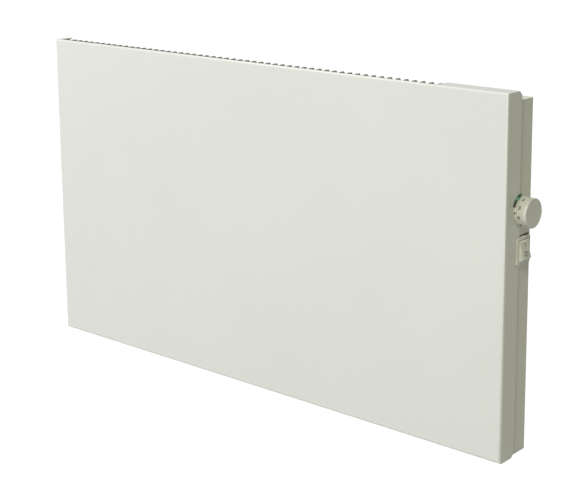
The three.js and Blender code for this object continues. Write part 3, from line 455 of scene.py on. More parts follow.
# ---- Geometry Nodes that repeat a piece or wind a wire --------------------------------------------------
def node_tree(name, inputs):
    """A tree with named inputs, a Group Input and a Group Output."""
    tree = bpy.data.node_groups.new(name, "GeometryNodeTree")
    for label, kind in inputs:
        tree.interface.new_socket(label, in_out="INPUT", socket_type=kind)
    tree.interface.new_socket("Geometry", in_out="OUTPUT", socket_type="NodeSocketGeometry")
    return tree, tree.nodes.new("NodeGroupInput"), tree.nodes.new("NodeGroupOutput")


def ended(tree, geometry, group_in, group_out):
    """Ends a tree in Realize Instances and Set Material."""
    real = tree.nodes.new("GeometryNodeRealizeInstances")
    painted = tree.nodes.new("GeometryNodeSetMaterial")
    tree.links.new(geometry, real.inputs["Geometry"])
    tree.links.new(real.outputs["Geometry"], painted.inputs["Geometry"])
    tree.links.new(group_in.outputs["Finish"], painted.inputs["Material"])
    tree.links.new(painted.outputs["Geometry"], group_out.inputs["Geometry"])
    return tree


def row_of_copies():
    """Copies of a piece in a straight row."""
    tree, group_in, group_out = node_tree(
        "row_of_copies",
        [
            ("Item", "NodeSocketGeometry"),
            ("Count", "NodeSocketInt"),
            ("Step", "NodeSocketVector"),
            ("Finish", "NodeSocketMaterial"),
        ],
    )
    line = tree.nodes.new("GeometryNodeMeshLine")
    copies = tree.nodes.new("GeometryNodeInstanceOnPoints")
    tree.links.new(group_in.outputs["Count"], line.inputs["Count"])
    tree.links.new(group_in.outputs["Step"], line.inputs["Offset"])
    tree.links.new(line.outputs["Mesh"], copies.inputs["Points"])
    tree.links.new(group_in.outputs["Item"], copies.inputs["Instance"])
    return ended(tree, copies.outputs["Instances"], group_in, group_out)


def wound_wire():
    """A round wire along a line of points."""
    tree, group_in, group_out = node_tree(
        "wound_wire",
        [
            ("Path", "NodeSocketGeometry"),
            ("Wire Radius", "NodeSocketFloat"),
            ("Sides", "NodeSocketInt"),
            ("Finish", "NodeSocketMaterial"),
        ],
    )
    as_curve = tree.nodes.new("GeometryNodeMeshToCurve")
    section = tree.nodes.new("GeometryNodeCurvePrimitiveCircle")
    swept = tree.nodes.new("GeometryNodeCurveToMesh")
    tree.links.new(group_in.outputs["Path"], as_curve.inputs["Mesh"])
    tree.links.new(group_in.outputs["Wire Radius"], section.inputs["Radius"])
    tree.links.new(group_in.outputs["Sides"], section.inputs["Resolution"])
    tree.links.new(as_curve.outputs["Curve"], swept.inputs["Curve"])
    tree.links.new(section.outputs["Curve"], swept.inputs["Profile Curve"])
    swept.inputs["Fill Caps"].default_value = True
    return ended(tree, swept.outputs["Mesh"], group_in, group_out)


ROW = row_of_copies()
WIRE = wound_wire()


def grown(made, tree, smooth=SMOOTH_TO, **values):
    """Runs a tree on a piece with these inputs, and keeps the result as its mesh."""
    modifier = made.modifiers.new(tree.name, "NODES")
    modifier.node_group = tree
    for item in tree.interface.items_tree:
        key = item.name.replace(" ", "_").lower()
        if item.in_out == "INPUT" and key in values:
            modifier[item.identifier] = values[key]
    as_plain_mesh(made, smooth)


def path_mesh(name, points):
    """A line of points, from which a tree makes a wire."""
    mesh = bpy.data.meshes.new(name)
    edges = [(i, i + 1) for i in range(len(points) - 1)]
    mesh.from_pydata([tuple(p) for p in points], edges, [])
    made = bpy.data.objects.new(name, mesh)
    scene.collection.objects.link(made)
    return made


# ---- Folded sheet ---------------------------------------------------------------------------------------
front = softened(finished("painted_front_panel", merged("front_panel"), paint_front), 0.3)
seated(front, "casing", "white_paint", "front_panel")

case = softened(finished("painted_rear_casing", merged("rear_casing"), paint_case), 0.25)
seated(case, "casing", "white_paint", "rear_casing")


# ---- Outlet grille --------------------------------------------------------------------------------------
FIN_PITCH = 10.3 * MM
FIN_SHEET = 0.8 * MM
FIN_COUNT = 54
FIN_HEIGHT = 14 * MM
FIRST_FIN = -308.1 * MM
WEB_FRONT = 1.5 * MM
WEB_FALL = 2.8 * MM
LIP = 3.2 * MM
# How far the fins stand below the fold, and how far behind the face their slope and level crest start.
FIN_SINK = 0.8 * MM
FIN_SHOULDER, FIN_CREST = 7 * MM, 11.2 * MM
FIN_DROP = 4.5 * MM
# Back and up from the crest's start, to ease the corner there.
FIN_EASE = ((-0.9 * MM, -0.3 * MM), (0.4 * MM, 0.0))
FIN_ROUND = 3 * MM
FIN_CHAMFER = 5 * MM
FIN_BROKEN = 0.15 * MM
TOP_DEPTH = 20 * MM
RAIL_HEIGHT = 8 * MM
RAIL_SINK = 2 * MM
RAIL_LEFT, RAIL_RIGHT = 3 * MM, 26.6 * MM


def outlet_fin():
    """One fin, its rear top corner rounded, with the edges of the cut sheet broken."""
    front_y, top = panel_low.y, panel_high.z - FIN_SINK
    low = panel_high.z - FIN_HEIGHT
    shoulder = top - WEB_FALL - FIN_DROP
    outline = [(LIP, shoulder), (FIN_SHOULDER, top - FIN_DROP)]
    outline += [(FIN_CREST + back, top + rise) for back, rise in FIN_EASE]
    outline += corner_arc((TOP_DEPTH - FIN_ROUND, top - FIN_ROUND), FIN_ROUND, 90, 0, 6)
    outline += [(TOP_DEPTH, low + FIN_CHAMFER), (TOP_DEPTH - FIN_CHAMFER, low)]
    outline += [(WEB_FRONT, low), (WEB_FRONT, shoulder)]
    mesh = bmesh.new()
    rows = []
    for x in (FIRST_FIN - FIN_SHEET / 2, FIRST_FIN + FIN_SHEET / 2):
        rows.append([(x, front_y + y, z) for y, z in outline])
    grid_faces(mesh, rows, closed=True, ends=True)
    outward(mesh)
    rim = [edge for edge in mesh.edges if len({round(v.co.x, 6) for v in edge.verts}) == 1]
    bmesh.ops.bevel(mesh, geom=rim, offset=FIN_BROKEN, segments=1, affect="EDGES")
    return mesh


def strip(mesh, x0, x1, y0, y1, z0, z1):
    """A plain bar of sheet, added to a mesh."""
    made = bmesh.ops.create_cube(mesh, size=1.0)
    size = Matrix.Diagonal((x1 - x0, y1 - y0, z1 - z0, 1.0))
    middle = Matrix.Translation(((x0 + x1) / 2, (y0 + y1) / 2, (z0 + z1) / 2))
    bmesh.ops.transform(mesh, matrix=middle @ size, verts=made["verts"])


def comb_strips():
    """The web in front of the fins and the low rail behind them."""
    low, high = corners("outlet_grille")
    front_y, top = panel_low.y, panel_high.z
    web_y = front_y + WEB_FRONT
    rear_y = front_y + TOP_DEPTH
    rail_z = top - FIN_HEIGHT - RAIL_SINK
    mesh = bmesh.new()
    strip(mesh, low.x, high.x, web_y, web_y + FIN_SHEET, low.z, top - WEB_FALL)
    strip(
        mesh, low.x + RAIL_LEFT, high.x - RAIL_RIGHT,
        rear_y - FIN_SHEET, rear_y, rail_z, rail_z + RAIL_HEIGHT,
    )
    return mesh


fins = finished("outlet_fins", outlet_fin(), painted_shade_fin_paint)
grown(fins, ROW, count=FIN_COUNT, step=(FIN_PITCH, 0, 0), finish=painted_shade_fin_paint)
seated(fins, "casing", "white_paint", "outlet_grille")
strips = softened(finished("outlet_fin_strips", comb_strips(), painted_shade_fin_paint), 0.2)
seated(strips, "casing", "white_paint")


# ---- Thermostat knob and collar -------------------------------------------------------------------------
ROUND_SIDES = 128
CAP_SINK = 0.15 * MM
NEAR_AXIS = 0.02 * MM


def knob():
    """The knob: its foot and rim rounded, its side very slightly hollow and its cap sunk within the rim."""
    inner, outer = knob_low.x, knob_high.x
    cap = outer - CAP_SINK
    r = KNOB_RADIUS
    profile = [(NEAR_AXIS, inner), (r - 1.1 * MM, inner), (r - 0.5 * MM, inner + 0.05 * MM)]
    profile += [(r - 0.1 * MM, inner + 0.35 * MM), (r, inner + 0.8 * MM)]
    profile += [(r - 0.05 * MM, (inner + outer) / 2)]
    profile += [(x, y) for y, x in corner_arc((outer - 1.1 * MM, r - 1.2 * MM), 1.1 * MM, 90, 0, 8)]
    profile += [(r - 2.2 * MM, outer), (r - 2.6 * MM, outer - 0.12 * MM), (r - 3.2 * MM, cap)]
    profile += [(r - 8 * MM, cap), (NEAR_AXIS, cap)]
    return outward(turned(profile, KNOB_AXIS, ROUND_SIDES))


knob_piece = finished("numbered_knob", knob(), knob_plastic, 50)
seated(knob_piece, "knob", "white_plastic", "thermostat_knob")


COLLAR_BORE = 3.3 * MM
COLLAR_ROUND = 0.6 * MM


def collar():
    """The fixed ring under the knob, with its outer rim rounded and a bore for the spindle."""
    inner, outer = collar_low.x, collar_high.x
    r = COLLAR_RADIUS
    rim = corner_arc((outer - COLLAR_ROUND, r - COLLAR_ROUND), COLLAR_ROUND, 90, 0, 5)
    profile = [(COLLAR_BORE, inner), (r, inner), (r, outer - 0.7 * MM)]
    profile += [(x, y) for y, x in rim]
    profile += [(COLLAR_BORE, outer), (COLLAR_BORE, inner)]
    mesh = turned(profile, KNOB_AXIS, ROUND_SIDES, ends=False)
    bmesh.ops.remove_doubles(mesh, verts=mesh.verts, dist=WELD)
    return outward(mesh)


collar_piece = finished("knob_collar", collar(), collar_plastic, 50)
seated(collar_piece, "casing", "white_plastic", "thermostat_collar")


def on_cylinder(x, round_by, radius):
    """A point on the knob's cylinder: x along its axis, and an angle from its front line, upwards."""
    return Vector((x, KNOB_AXIS.y - radius * math.cos(round_by), KNOB_AXIS.z + radius * math.sin(round_by)))


def lettered(text, height):
    """A number as a flat closed mesh in its own plane, centred, its back on the plane."""
    curve = bpy.data.curves.new("number", "FONT")
    curve.body = text
    curve.size = 1.4 * height
    curve.align_x = "CENTER"
    curve.extrude = 0.5
    curve.offset = 0.045 * height
    curve.resolution_u = 3
    holder = bpy.data.objects.new("number", curve)
    scene.collection.objects.link(holder)
    bpy.context.view_layer.update()
    flat = bpy.data.meshes.new_from_object(holder.evaluated_get(bpy.context.evaluated_depsgraph_get()))
    mesh = bmesh.new()
    mesh.from_mesh(flat)
    bmesh.ops.remove_doubles(mesh, verts=mesh.verts, dist=1e-8)
    bpy.data.objects.remove(holder)
    bpy.data.curves.remove(curve)
    bpy.data.meshes.remove(flat)
    lows = [min(v.co[i] for v in mesh.verts) for i in range(2)]
    highs = [max(v.co[i] for v in mesh.verts) for i in range(2)]
    for v in mesh.verts:
        v.co.x -= (lows[0] + highs[0]) / 2
        v.co.y -= (lows[1] + highs[1]) / 2
        v.co.z += 0.5
    return mesh


NUMBER_HEIGHT = 3.7 * MM
NUMBER_STRETCH = 1.15
NUMBER_INSET = 2.7 * MM
NUMBER_ZERO, NUMBER_STEP = 140, 37.5
INK_SINK, INK_THICK = 0.03 * MM, 0.05 * MM


def knob_numbers():
    """Numbers 0 to 7 printed round the knob's edge, upright where they pass the index dot."""
    mesh = bmesh.new()
    for number in range(8):
        glyph = lettered(str(number), NUMBER_HEIGHT)
        for k in range(1, 6):
            level = NUMBER_HEIGHT * (k / 6 - 0.5)
            everything = glyph.verts[:] + glyph.edges[:] + glyph.faces[:]
            bmesh.ops.bisect_plane(glyph, geom=everything, plane_co=(0, level, 0), plane_no=(0, 1, 0))
        round_by = math.radians(NUMBER_ZERO - NUMBER_STEP * number)
        for v in glyph.verts:
            x = knob_low.x + NUMBER_INSET + NUMBER_STRETCH * v.co.x
            raised = KNOB_RADIUS - INK_SINK + INK_THICK * v.co.z
            v.co = on_cylinder(x, round_by + v.co.y / KNOB_RADIUS, raised)
        temporary = bpy.data.meshes.new("number")
        glyph.to_mesh(temporary)
        glyph.free()
        mesh.from_mesh(temporary)
        bpy.data.meshes.remove(temporary)
    return outward(mesh)


numbers = finished("knob_numbers", knob_numbers(), ink_brown)
seated(numbers, "knob", "white_plastic")


INDEX_ANGLE = math.radians(5)
INDEX_INSET = 0.72 * MM
INDEX_HALF = 0.66 * MM


def index_mark(half_round_mm, lift_mm):
    """A small printed oval on the collar's edge, so long round it and so thick."""
    mesh = bmesh.new()
    rows = []
    for share, lift in ((1.0, -0.03), (1.0, lift_mm), (0.9, lift_mm + 0.02)):
        ring = []
        for angle in round_angles(28):
            x = collar_high.x - INDEX_INSET + INDEX_HALF * share * math.cos(angle)
            over = half_round_mm * MM * share * math.sin(angle) / COLLAR_RADIUS
            ring.append(on_cylinder(x, INDEX_ANGLE + over, COLLAR_RADIUS + lift * MM))
        rows.append(ring)
    grid_faces(mesh, rows, closed=True, ends=True)
    return outward(mesh)


seated(finished("index_ground", index_mark(2.9, 0.03), ink_white), "casing", "white_plastic")
seated(finished("index_dot", index_mark(1.1, 0.07), ink_black), "casing", "white_plastic")


# ---- Indicator lens -------------------------------------------------------------------------------------
LENS_RADIUS, LENS_HALF = 17.6 * MM, 1.7 * MM
LENS_START, LENS_END = math.radians(99), math.radians(153)
LENS_STEPS = 28
LENS_SECTION = ((-1, 0.0), (-1, 0.55), (-0.7, 0.86), (0, 1.0), (0.7, 0.86), (1, 0.55), (1, 0.0))
LENS_FOOT = 1.4 * MM
STEM_RADIUS = 1.5 * MM


def lens():
    """The crescent lens beside the knob: a domed strip along an arc, with rounded ends, and its stem."""
    base, top = panel_high.x - LENS_FOOT, lens_high.x
    mesh = bmesh.new()
    rows = []
    cap = LENS_HALF / LENS_RADIUS
    for k in range(LENS_STEPS + 1):
        angle = LENS_START + (LENS_END - LENS_START) * k / LENS_STEPS
        inside = min(angle - LENS_START, LENS_END - angle)
        share = math.sqrt(max(0.02, 1 - (1 - min(inside / cap, 1)) ** 2))
        ring = []
        for across, lift in LENS_SECTION:
            radius = LENS_RADIUS + LENS_HALF * across * share
            x = base + (top - base) * lift
            ring.append((x, KNOB_AXIS.y + radius * math.cos(angle), KNOB_AXIS.z + radius * math.sin(angle)))
        rows.append(ring)
    grid_faces(mesh, rows, closed=True, ends=True)
    rows = [ring_round_x(x, LAMP_SPOT, STEM_RADIUS, 20) for x in (lens_low.x, base + 0.2 * MM)]
    grid_faces(mesh, rows, closed=True, ends=True)
    return outward(mesh)


lens_piece = finished("lamp_lens", lens(), green_lens, 60)
seated(lens_piece, "casing", "green_lens", "indicator_lens")


# ---- Rocker switch --------------------------------------------------------------------------------------
bezel = softened(finished("switch_bezel", merged("switch_housing"), switch_plastic), 0.35, 40, 3)
seated(bezel, "casing", "white_plastic", "switch_housing")

rocker_low, rocker_high = corners("switch_rocker")
# The rocker's own measures are in millimetres from its pivot, and in degrees.
ROCKER_RADIUS = 10.68
ROCKER_PIVOT = Vector((324.4 * MM, (rocker_low.y + rocker_high.y) / 2, 22.0 * MM))
ROCKER_TILT = 11.0
ROCKER_HALF = 8.2
DISH_MIDDLE, DISH_RISE, DISH_HALF = 5.26, 0.64, 8.9
# Up and out along the raised lip, from the end's arc to the dished face.
ROCKER_LIP = ((-9.45, 4.95), (-9.05, 5.4), (-8.55, 5.66), (-8.0, 5.75))
# Across from the middle, and how far the face has fallen there.
CROWN = ((ROCKER_HALF, 1.7), (8.12, 1.25), (7.9, 0.86), (7.5, 0.5), (6.9, 0.23), (6.1, 0.06), (5.0, 0.0))
PIN_RADIUS = 1.5
PIN_FROM, PIN_TO = ROCKER_HALF - 0.5, ROCKER_HALF + 0.8


def dished(up_mm):
    """How far the face stands from the pivot: a shallow hollow across the rocker's length."""
    return DISH_MIDDLE + DISH_RISE * (up_mm / DISH_HALF) ** 2


def on_rocker(up_mm, out_mm, across_mm=0.0):
    """A point from the rocker's own up, out and across to the scene, as it stands tilted at rest."""
    tilt = math.radians(ROCKER_TILT)
    x = out_mm * math.cos(tilt) - up_mm * math.sin(tilt)
    z = up_mm * math.cos(tilt) + out_mm * math.sin(tilt)
    return ROCKER_PIVOT + Vector((x, across_mm, z)) * MM


def sunk(out_mm, fall_mm):
    """The face falls away by so much near its cheeks, and the lower part of the ends doesn't."""
    return out_mm - fall_mm * min(1.0, max(0.0, (out_mm - 1.5) / 3.0))


def rocker():
    """The rocker: a dished face between ends that are arcs about its pivot, with crowned cheeks and pins."""
    ends = [math.radians(d) for d in range(102, 65, -6)]
    outline = [(-ROCKER_RADIUS * math.sin(a), ROCKER_RADIUS * math.cos(a)) for a in ends]
    outline += ROCKER_LIP
    end_points = len(outline)
    outline += [(DISH_HALF * k / 8, dished(DISH_HALF * k / 8)) for k in range(-6, 7)]
    outline += [(-up, out) for up, out in reversed(outline[:end_points])]
    mesh = bmesh.new()
    across = [(-at, fall) for at, fall in CROWN] + list(reversed(CROWN))
    rows = [[on_rocker(up, sunk(out, fall), at) for up, out in outline] for at, fall in across]
    grid_faces(mesh, rows, closed=True, ends=True)
    pin = [(PIN_RADIUS * math.sin(a), PIN_RADIUS * math.cos(a)) for a in round_angles(20)]
    for side in (-1, 1):
        rows = [[on_rocker(up, out, side * reach) for up, out in pin] for reach in (PIN_FROM, PIN_TO)]
        grid_faces(mesh, rows, closed=True, ends=True)
    return outward(mesh)


rocker_piece = softened(finished("rocker", rocker(), rocker_plastic, 28), 0.45, 28, 3)
seated(rocker_piece, "rocker", "white_plastic", "switch_rocker")


def on_face(up_mm, across_mm, lift_mm):
    """A point on the dished face, or a little above or below it."""
    return on_rocker(up_mm, dished(up_mm) + lift_mm, across_mm)


MARK_SINK, MARK_LIFT = -0.06, 0.05
BAR_MIDDLE, BAR_LENGTH, BAR_HALF = 5.2, 4.2, 0.42
RING_MIDDLE, RING_INNER, RING_OUTER = -4.0, (1.7, 2.1), (2.55, 2.95)


def switch_marks():
    """I on the upper half and O on the lower half, printed on the dished face."""
    mesh = bmesh.new()
    section = ((-BAR_HALF, MARK_SINK), (BAR_HALF, MARK_SINK), (BAR_HALF, MARK_LIFT), (-BAR_HALF, MARK_LIFT))
    rows = []
    for k in range(7):
        up = BAR_MIDDLE + BAR_LENGTH * (k / 6 - 0.5)
        rows.append([on_face(up, across, lift) for across, lift in section])
    grid_faces(mesh, rows, closed=True, ends=True)
    section = [(RING_INNER, MARK_SINK), (RING_INNER, MARK_LIFT), (RING_OUTER, MARK_LIFT)]
    section += [(RING_OUTER, MARK_SINK), (RING_INNER, MARK_SINK)]
    rows = []
    for (tall, wide), lift in section:
        rows.append(
            [on_face(RING_MIDDLE + tall * math.sin(a), wide * math.cos(a), lift) for a in round_angles(40)]
        )
    grid_faces(mesh, rows, closed=True)
    bmesh.ops.remove_doubles(mesh, verts=mesh.verts, dist=WELD)
    return outward(mesh)


marks = finished("switch_marks", switch_marks(), ink_grey)
seated(marks, "rocker", "white_plastic")


# ---- Screws ---------------------------------------------------------------------------------------------
SCREW_HEAD, SCREW_SHANK = 2.0 * MM, 1.75 * MM
CROSS_HALF, CROSS_DEPTH = 0.42 * MM, 1.1 * MM


def pan_head(node):
    """A pan head screw, its head down, in the place of a CAD screw; the middle of the head; its radius."""
    low, high = corners(node)
    centre = (low + high) / 2
    r = (high.x - low.x) / 2
    profile = [(SCREW_SHANK * 0.4, high.z), (SCREW_SHANK, high.z - 1.2 * MM)]
    profile += [(SCREW_SHANK, low.z + SCREW_HEAD), (r, low.z + SCREW_HEAD), (r, low.z + 0.9 * MM)]
    profile += [(r * 0.86, low.z + 0.35 * MM), (r * 0.6, low.z + 0.06 * MM), (r * 0.3, low.z)]
    mesh = bmesh.new()
    rows = []
    for radius, z in profile:
        rows.append(
            [(centre.x + radius * math.cos(a), centre.y + radius * math.sin(a), z) for a in round_angles(32)]
        )
    grid_faces(mesh, rows, closed=True, ends=True)
    return outward(mesh), Vector((centre.x, centre.y, low.z)), r


def cross_recess(at, reach):
    """The cutter of a cross recess."""
    mesh = bmesh.new()
    arm = reach * 0.55
    for x, y in ((arm, CROSS_HALF), (CROSS_HALF, arm)):
        strip(mesh, at.x - x, at.x + x, at.y - y, at.y + y, at.z - CROSS_DEPTH, at.z + CROSS_DEPTH)
    return mesh


def cut_by(made, cutter):
    """Cuts a piece by a mesh, and keeps the result as its mesh."""
    tool = finished("cutter", cutter, made.data.materials[0])
    join = made.modifiers.new("recess", "BOOLEAN")
    join.operation = "DIFFERENCE"
    join.solver = "EXACT"
    join.use_self = True
    join.object = tool
    as_plain_mesh(made)
    bpy.data.objects.remove(tool)


screw_mesh, screw_at, screw_radius = pan_head("case_screw_1")
case_screws = finished("case_screws", screw_mesh, plated_steel)
cut_by(case_screws, cross_recess(screw_at, screw_radius))
screw_step = corners("case_screw_2")[0].x - corners("case_screw_1")[0].x
grown(case_screws, ROW, count=3, step=(screw_step, 0, 0), finish=plated_steel)
seated(case_screws, "casing", "steel", "case_screw_1", "case_screw_2", "case_screw_3")


# ---- Wires and springs ----------------------------------------------------------------------------------
def smooth_route(points, steps):
    """Centripetal Catmull-Rom points along a route."""
    ends = [2 * points[0] - points[1], *points, 2 * points[-1] - points[-2]]
    out = []
    for p0, p1, p2, p3 in zip(ends, ends[1:], ends[2:], ends[3:]):
        t1 = math.sqrt((p1 - p0).length)
        t2 = t1 + math.sqrt((p2 - p1).length)
        t3 = t2 + math.sqrt((p3 - p2).length)
        for k in range(steps):
            t = t1 + (t2 - t1) * k / steps
            a1 = p0.lerp(p1, t / t1)
            a2 = p1.lerp(p2, (t - t1) / (t2 - t1))
            a3 = p2.lerp(p3, (t - t2) / (t3 - t2))
            b1 = a1.lerp(a2, t / t2)
            b2 = a2.lerp(a3, (t - t1) / (t3 - t1))
            out.append(b1.lerp(b2, (t - t1) / (t2 - t1)))
    out.append(points[-1])
    return out


# Routes in millimetres, as the solids have them.
ROUTES = {
    "wire_cutout_to_element": (
        (179.7, -48.8, -40), (196.2, -50.8, -54), (242.7, -47, -72), (242.7, -51, -92.4), (242.7, -51, -105),
    ),
    "wire_thermostat_to_cutout": (
        (288.4, -49.6, 55.5), (266.2, -46, 31), (254.2, -42, -46), (248.2, -42, -59), (234.2, -46, -56),
        (188.2, -52.8, -32), (172.7, -48.8, -40),
    ),
    "wire_switch_to_thermostat": (
        (294.5, -40.2, 29), (283, -37.2, 36), (282.9, -35, 43), (283.9, -34.4, 53), (288.5, -34.4, 55.5),
    ),
    "wire_supply_to_switch": (
        (281.5, -31.3, -76), (292.5, -32.3, -72), (287, -38.2, -34), (289, -40.2, 8), (294.5, -40.2, 15),
    ),
    "wire_neutral": (
        (-317.7, -51, -107), (-317.7, -48, -126), (-311.2, -41, -159.5), (-269.2, -37, -173.5),
        (0, -37, -173.5), (216.2, -37, -173.5), (238.2, -37, -173.5), (251.2, -37, -170.5),
        (256.9, -37, -143.5), (255.9, -32.3, -96), (262.9, -31.3, -90),
    ),
    "wire_earth": (
        (281.5, -31.3, -104), (290.5, -33.3, -98), (299.2, -34.3, -70), (296.2, -33.3, -60),
        (296.2, -31.3, -50),
    ),
}
ROUTE_STEPS = 12
SLEEVE_RADIUS = 1.08 * MM
WIRE_SMOOTH = 40
SLEEVES = {"wire_neutral": (sleeve_blue, "wire_blue"), "wire_earth": (sleeve_green, "wire_green")}
for node, route in ROUTES.items():
    finish, slot = SLEEVES.get(node, (sleeve_brown, "wire_red"))
    wire = path_mesh("sleeved_" + node, smooth_route([Vector(point) * MM for point in route], ROUTE_STEPS))
    grown(wire, WIRE, WIRE_SMOOTH, wire_radius=SLEEVE_RADIUS, sides=14, finish=finish)
    seated(wire, "casing", slot, node)


SPRING_TURNS = 6
SPRING_WIRE = 0.6 * MM
END_TURN = 0.85
END_PITCH = 2.1 * SPRING_WIRE


def spring_path(node):
    """A helix of the spring's turns, its end turns closed."""
    low, high = corners(node)
    centre = (low + high) / 2
    radius = (high.x - low.x) / 2 - SPRING_WIRE
    bottom, top = low.z + SPRING_WIRE, high.z - SPRING_WIRE
    points = []
    steps = 24 * SPRING_TURNS
    for k in range(steps + 1):
        turn = SPRING_TURNS * k / steps
        rise = min(max((turn - END_TURN) / (SPRING_TURNS - 2 * END_TURN), 0.0), 1.0)
        z = bottom + END_PITCH * min(turn, END_TURN) / END_TURN + (top - bottom - 2 * END_PITCH) * rise
        z += END_PITCH * max(turn - (SPRING_TURNS - END_TURN), 0.0) / END_TURN
        angle = 2 * math.pi * turn
        points.append((centre.x + radius * math.cos(angle), centre.y + radius * math.sin(angle), z))
    return points


for side in ("left", "right"):
    node = "catch_spring_" + side
    spring = path_mesh("coiled_" + node, spring_path(node))
    grown(spring, WIRE, WIRE_SMOOTH, wire_radius=SPRING_WIRE, sides=12, finish=spring_steel)
    seated(spring, "casing", "steel", node)
    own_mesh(spring)


# ---- Pieces with the CAD's own shape, their edges broken ------------------------------------------------
REFINED = {
    "wall_bracket": ("zinc_wall_bracket", zinc, "zinc_sheet", 0.2, "casing"),
    "bracket_catch_left": ("moulded_catch_left", nylon, "dark_plastic", 0.35, "catch_left"),
    "bracket_catch_right": ("moulded_catch_right", nylon, "dark_plastic", 0.35, "catch_right"),
    "cable_gland": ("moulded_gland", nylon, "dark_plastic", 0.3, "casing"),
    "thermostat_body": ("thermostat_case", phenolic, "dark_plastic", 0.3, "casing"),
    "thermal_cutout": ("cutout_case", phenolic, "dark_plastic", 0.25, "casing"),
    "terminal_block": ("terminal_case", ceramic, "ceramic", 0.4, "casing"),
    "heat_baffle": ("zinc_baffle", zinc, "zinc_sheet", 0.15, "casing"),
    "control_partition": ("zinc_partition", zinc, "zinc_sheet", 0.15, "casing"),
    "element_bracket_left": ("zinc_element_foot_left", zinc, "zinc_sheet", 0.15, "casing"),
    "element_bracket_right": ("zinc_element_foot_right", zinc, "zinc_sheet", 0.15, "casing"),
    "insulator_left": ("turned_insulator_left", ceramic, "ceramic", 0.3, "casing"),
    "insulator_right": ("turned_insulator_right", ceramic, "ceramic", 0.3, "casing"),
    "element_fins": ("extruded_element", extruded, "aluminium", 0.15, "casing"),
}
for node, (name, finish, slot, edge_mm, body) in REFINED.items():
    copy = softened(finished(name, merged(node), finish), edge_mm)
    seated(copy, body, slot, node)

# Pieces that stay the CAD's own, with their finish only.
KEPT = {
    "element_rod": sheath,
    "thermostat_spindle": plated_steel,
    "thermostat_sensor": copper,
    "sensor_clip": zinc,
    "indicator_lamp": lamp_grey,
    "terminal_screw_1": brass,
    "terminal_screw_2": brass,
    "terminal_screw_3": brass,
    "earth_screw": brass,
    "panel_clip": spring_steel,
}
for node, finish in KEPT.items():
    mesh = NODES[node].data
    mesh.materials.clear()
    mesh.materials.append(finish)


# ---- Floor, light and camera ----------------------------------------------------------------------------
FLOOR_DROP = 0.16
FLOOR_SIZE = 30
FLOOR_WHITE = 0.95
AMBIENT = (0.15, 0.15, 0.098)
GLOSSY_WHITE = 0.4


def floor_finish():
    """Matt grey to the light it sends back, nearly plain white to the eye and in shiny and clear things."""
    ground = Finish("studio_floor")
    path = ground.tree.nodes.new("ShaderNodeLightPath")
    seen = Wire(ground, path.outputs["Is Camera Ray"])
    seen = seen.larger(Wire(ground, path.outputs["Is Glossy Ray"]))
    seen = seen.larger(Wire(ground, path.outputs["Is Transmission Ray"]))
    white = ground.node("ShaderNodeEmission", None, {"Color": (1, 1, 1, 1), "Strength": 1.1})
    matt = ground.node("ShaderNodeBsdfDiffuse", None, {"Color": (0.42, 0.42, 0.40, 1)})
    both = ground.node("ShaderNodeMixShader", None, {0: seen * FLOOR_WHITE, 1: matt, 2: white})
    ground.tree.links.new(both.socket, ground.end.inputs["Surface"])
    return ground.material


floor_mesh = bmesh.new()
bmesh.ops.create_grid(floor_mesh, x_segments=1, y_segments=1, size=FLOOR_SIZE)
bmesh.ops.translate(floor_mesh, verts=floor_mesh.verts, vec=(0, 0, panel_low.z - FLOOR_DROP))
floor = finished("studio_floor", floor_mesh, floor_finish())

world = bpy.data.worlds.new("studio_world")
scene.world = world
world.use_nodes = True
world.node_tree.nodes.clear()


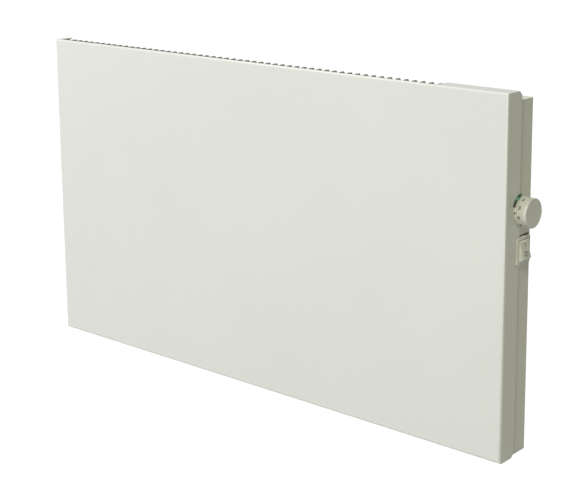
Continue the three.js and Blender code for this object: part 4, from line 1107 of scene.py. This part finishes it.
def studio_world(tree):
    """A dim surround, white to the eye and through clear things, and partly white in shiny ones."""

    def add(kind):
        return tree.nodes.new(kind)

    path, plain, seen = add("ShaderNodeLightPath"), add("ShaderNodeBackground"), add("ShaderNodeBackground")
    mix, end = add("ShaderNodeMixShader"), add("ShaderNodeOutputWorld")
    sheen, either, any_of = add("ShaderNodeMath"), add("ShaderNodeMath"), add("ShaderNodeMath")
    sheen.operation = "MULTIPLY"
    either.operation = any_of.operation = "MAXIMUM"
    plain.inputs["Color"].default_value = (*AMBIENT, 1.0)
    seen.inputs["Color"].default_value = (1, 1, 1, 1)
    tree.links.new(path.outputs["Is Glossy Ray"], sheen.inputs[0])
    sheen.inputs[1].default_value = GLOSSY_WHITE
    tree.links.new(path.outputs["Is Camera Ray"], either.inputs[0])
    tree.links.new(path.outputs["Is Transmission Ray"], either.inputs[1])
    tree.links.new(either.outputs[0], any_of.inputs[0])
    tree.links.new(sheen.outputs[0], any_of.inputs[1])
    tree.links.new(any_of.outputs[0], mix.inputs[0])
    tree.links.new(plain.outputs[0], mix.inputs[1])
    tree.links.new(seen.outputs[0], mix.inputs[2])
    tree.links.new(mix.outputs[0], end.inputs["Surface"])


studio_world(world.node_tree)


LIT_SPOT = Vector((0, -0.05, 0))


def softbox(name, place, size, power, colour):
    """A square lamp that faces the middle of the part."""
    light = bpy.data.lights.new(name, "AREA")
    light.shape = "SQUARE"
    light.size = size
    light.energy = power
    light.color = colour
    made = bpy.data.objects.new(name, light)
    made.location = place
    made.rotation_euler = (LIT_SPOT - Vector(place)).to_track_quat("-Z", "Y").to_euler()
    scene.collection.objects.link(made)


softbox("warm_softbox", (1.64, -4.12, 3.95), 1.5, 156, (1.0, 0.995, 0.81))
softbox("cool_softbox", (-1.97, -2.85, 3.09), 1.2, 155, (0.82, 0.833, 1.0))
softbox("rear_softbox", (0.0, 5.06, 2.95), 1.5, 66, (0.97, 1.0, 0.96))

# The camera that was fitted to the panel's edges: focal length and width in pixels, angles, place in metres.
FOCAL = 1408.9
IMAGE_WIDTH = 587
SENSOR = 36
YAW, PITCH, ROLL = math.radians(41.012), math.radians(11.624), math.radians(-0.468)
CAMERA_PLACE = (1.0231, -1.1792, 0.3995)
camera_data = bpy.data.cameras.new("photo_camera")
camera_data.sensor_width = SENSOR
camera_data.lens = FOCAL / IMAGE_WIDTH * SENSOR
camera_data.shift_y = -0.18
camera_data.clip_start, camera_data.clip_end = 0.05, 100
camera = bpy.data.objects.new("photo_camera", camera_data)
scene.collection.objects.link(camera)
ahead = Vector((-math.sin(YAW) * math.cos(PITCH), math.cos(YAW) * math.cos(PITCH), -math.sin(PITCH)))
level = Vector((math.cos(YAW), math.sin(YAW), 0))
upward = level.cross(ahead)
right = level * math.cos(ROLL) + upward * math.sin(ROLL)
up = right.cross(ahead)
basis = Matrix((right, up, -ahead)).transposed().to_4x4()
camera.matrix_world = Matrix.Translation(CAMERA_PLACE) @ basis
scene.camera = camera
scene.view_settings.view_transform = "Standard"
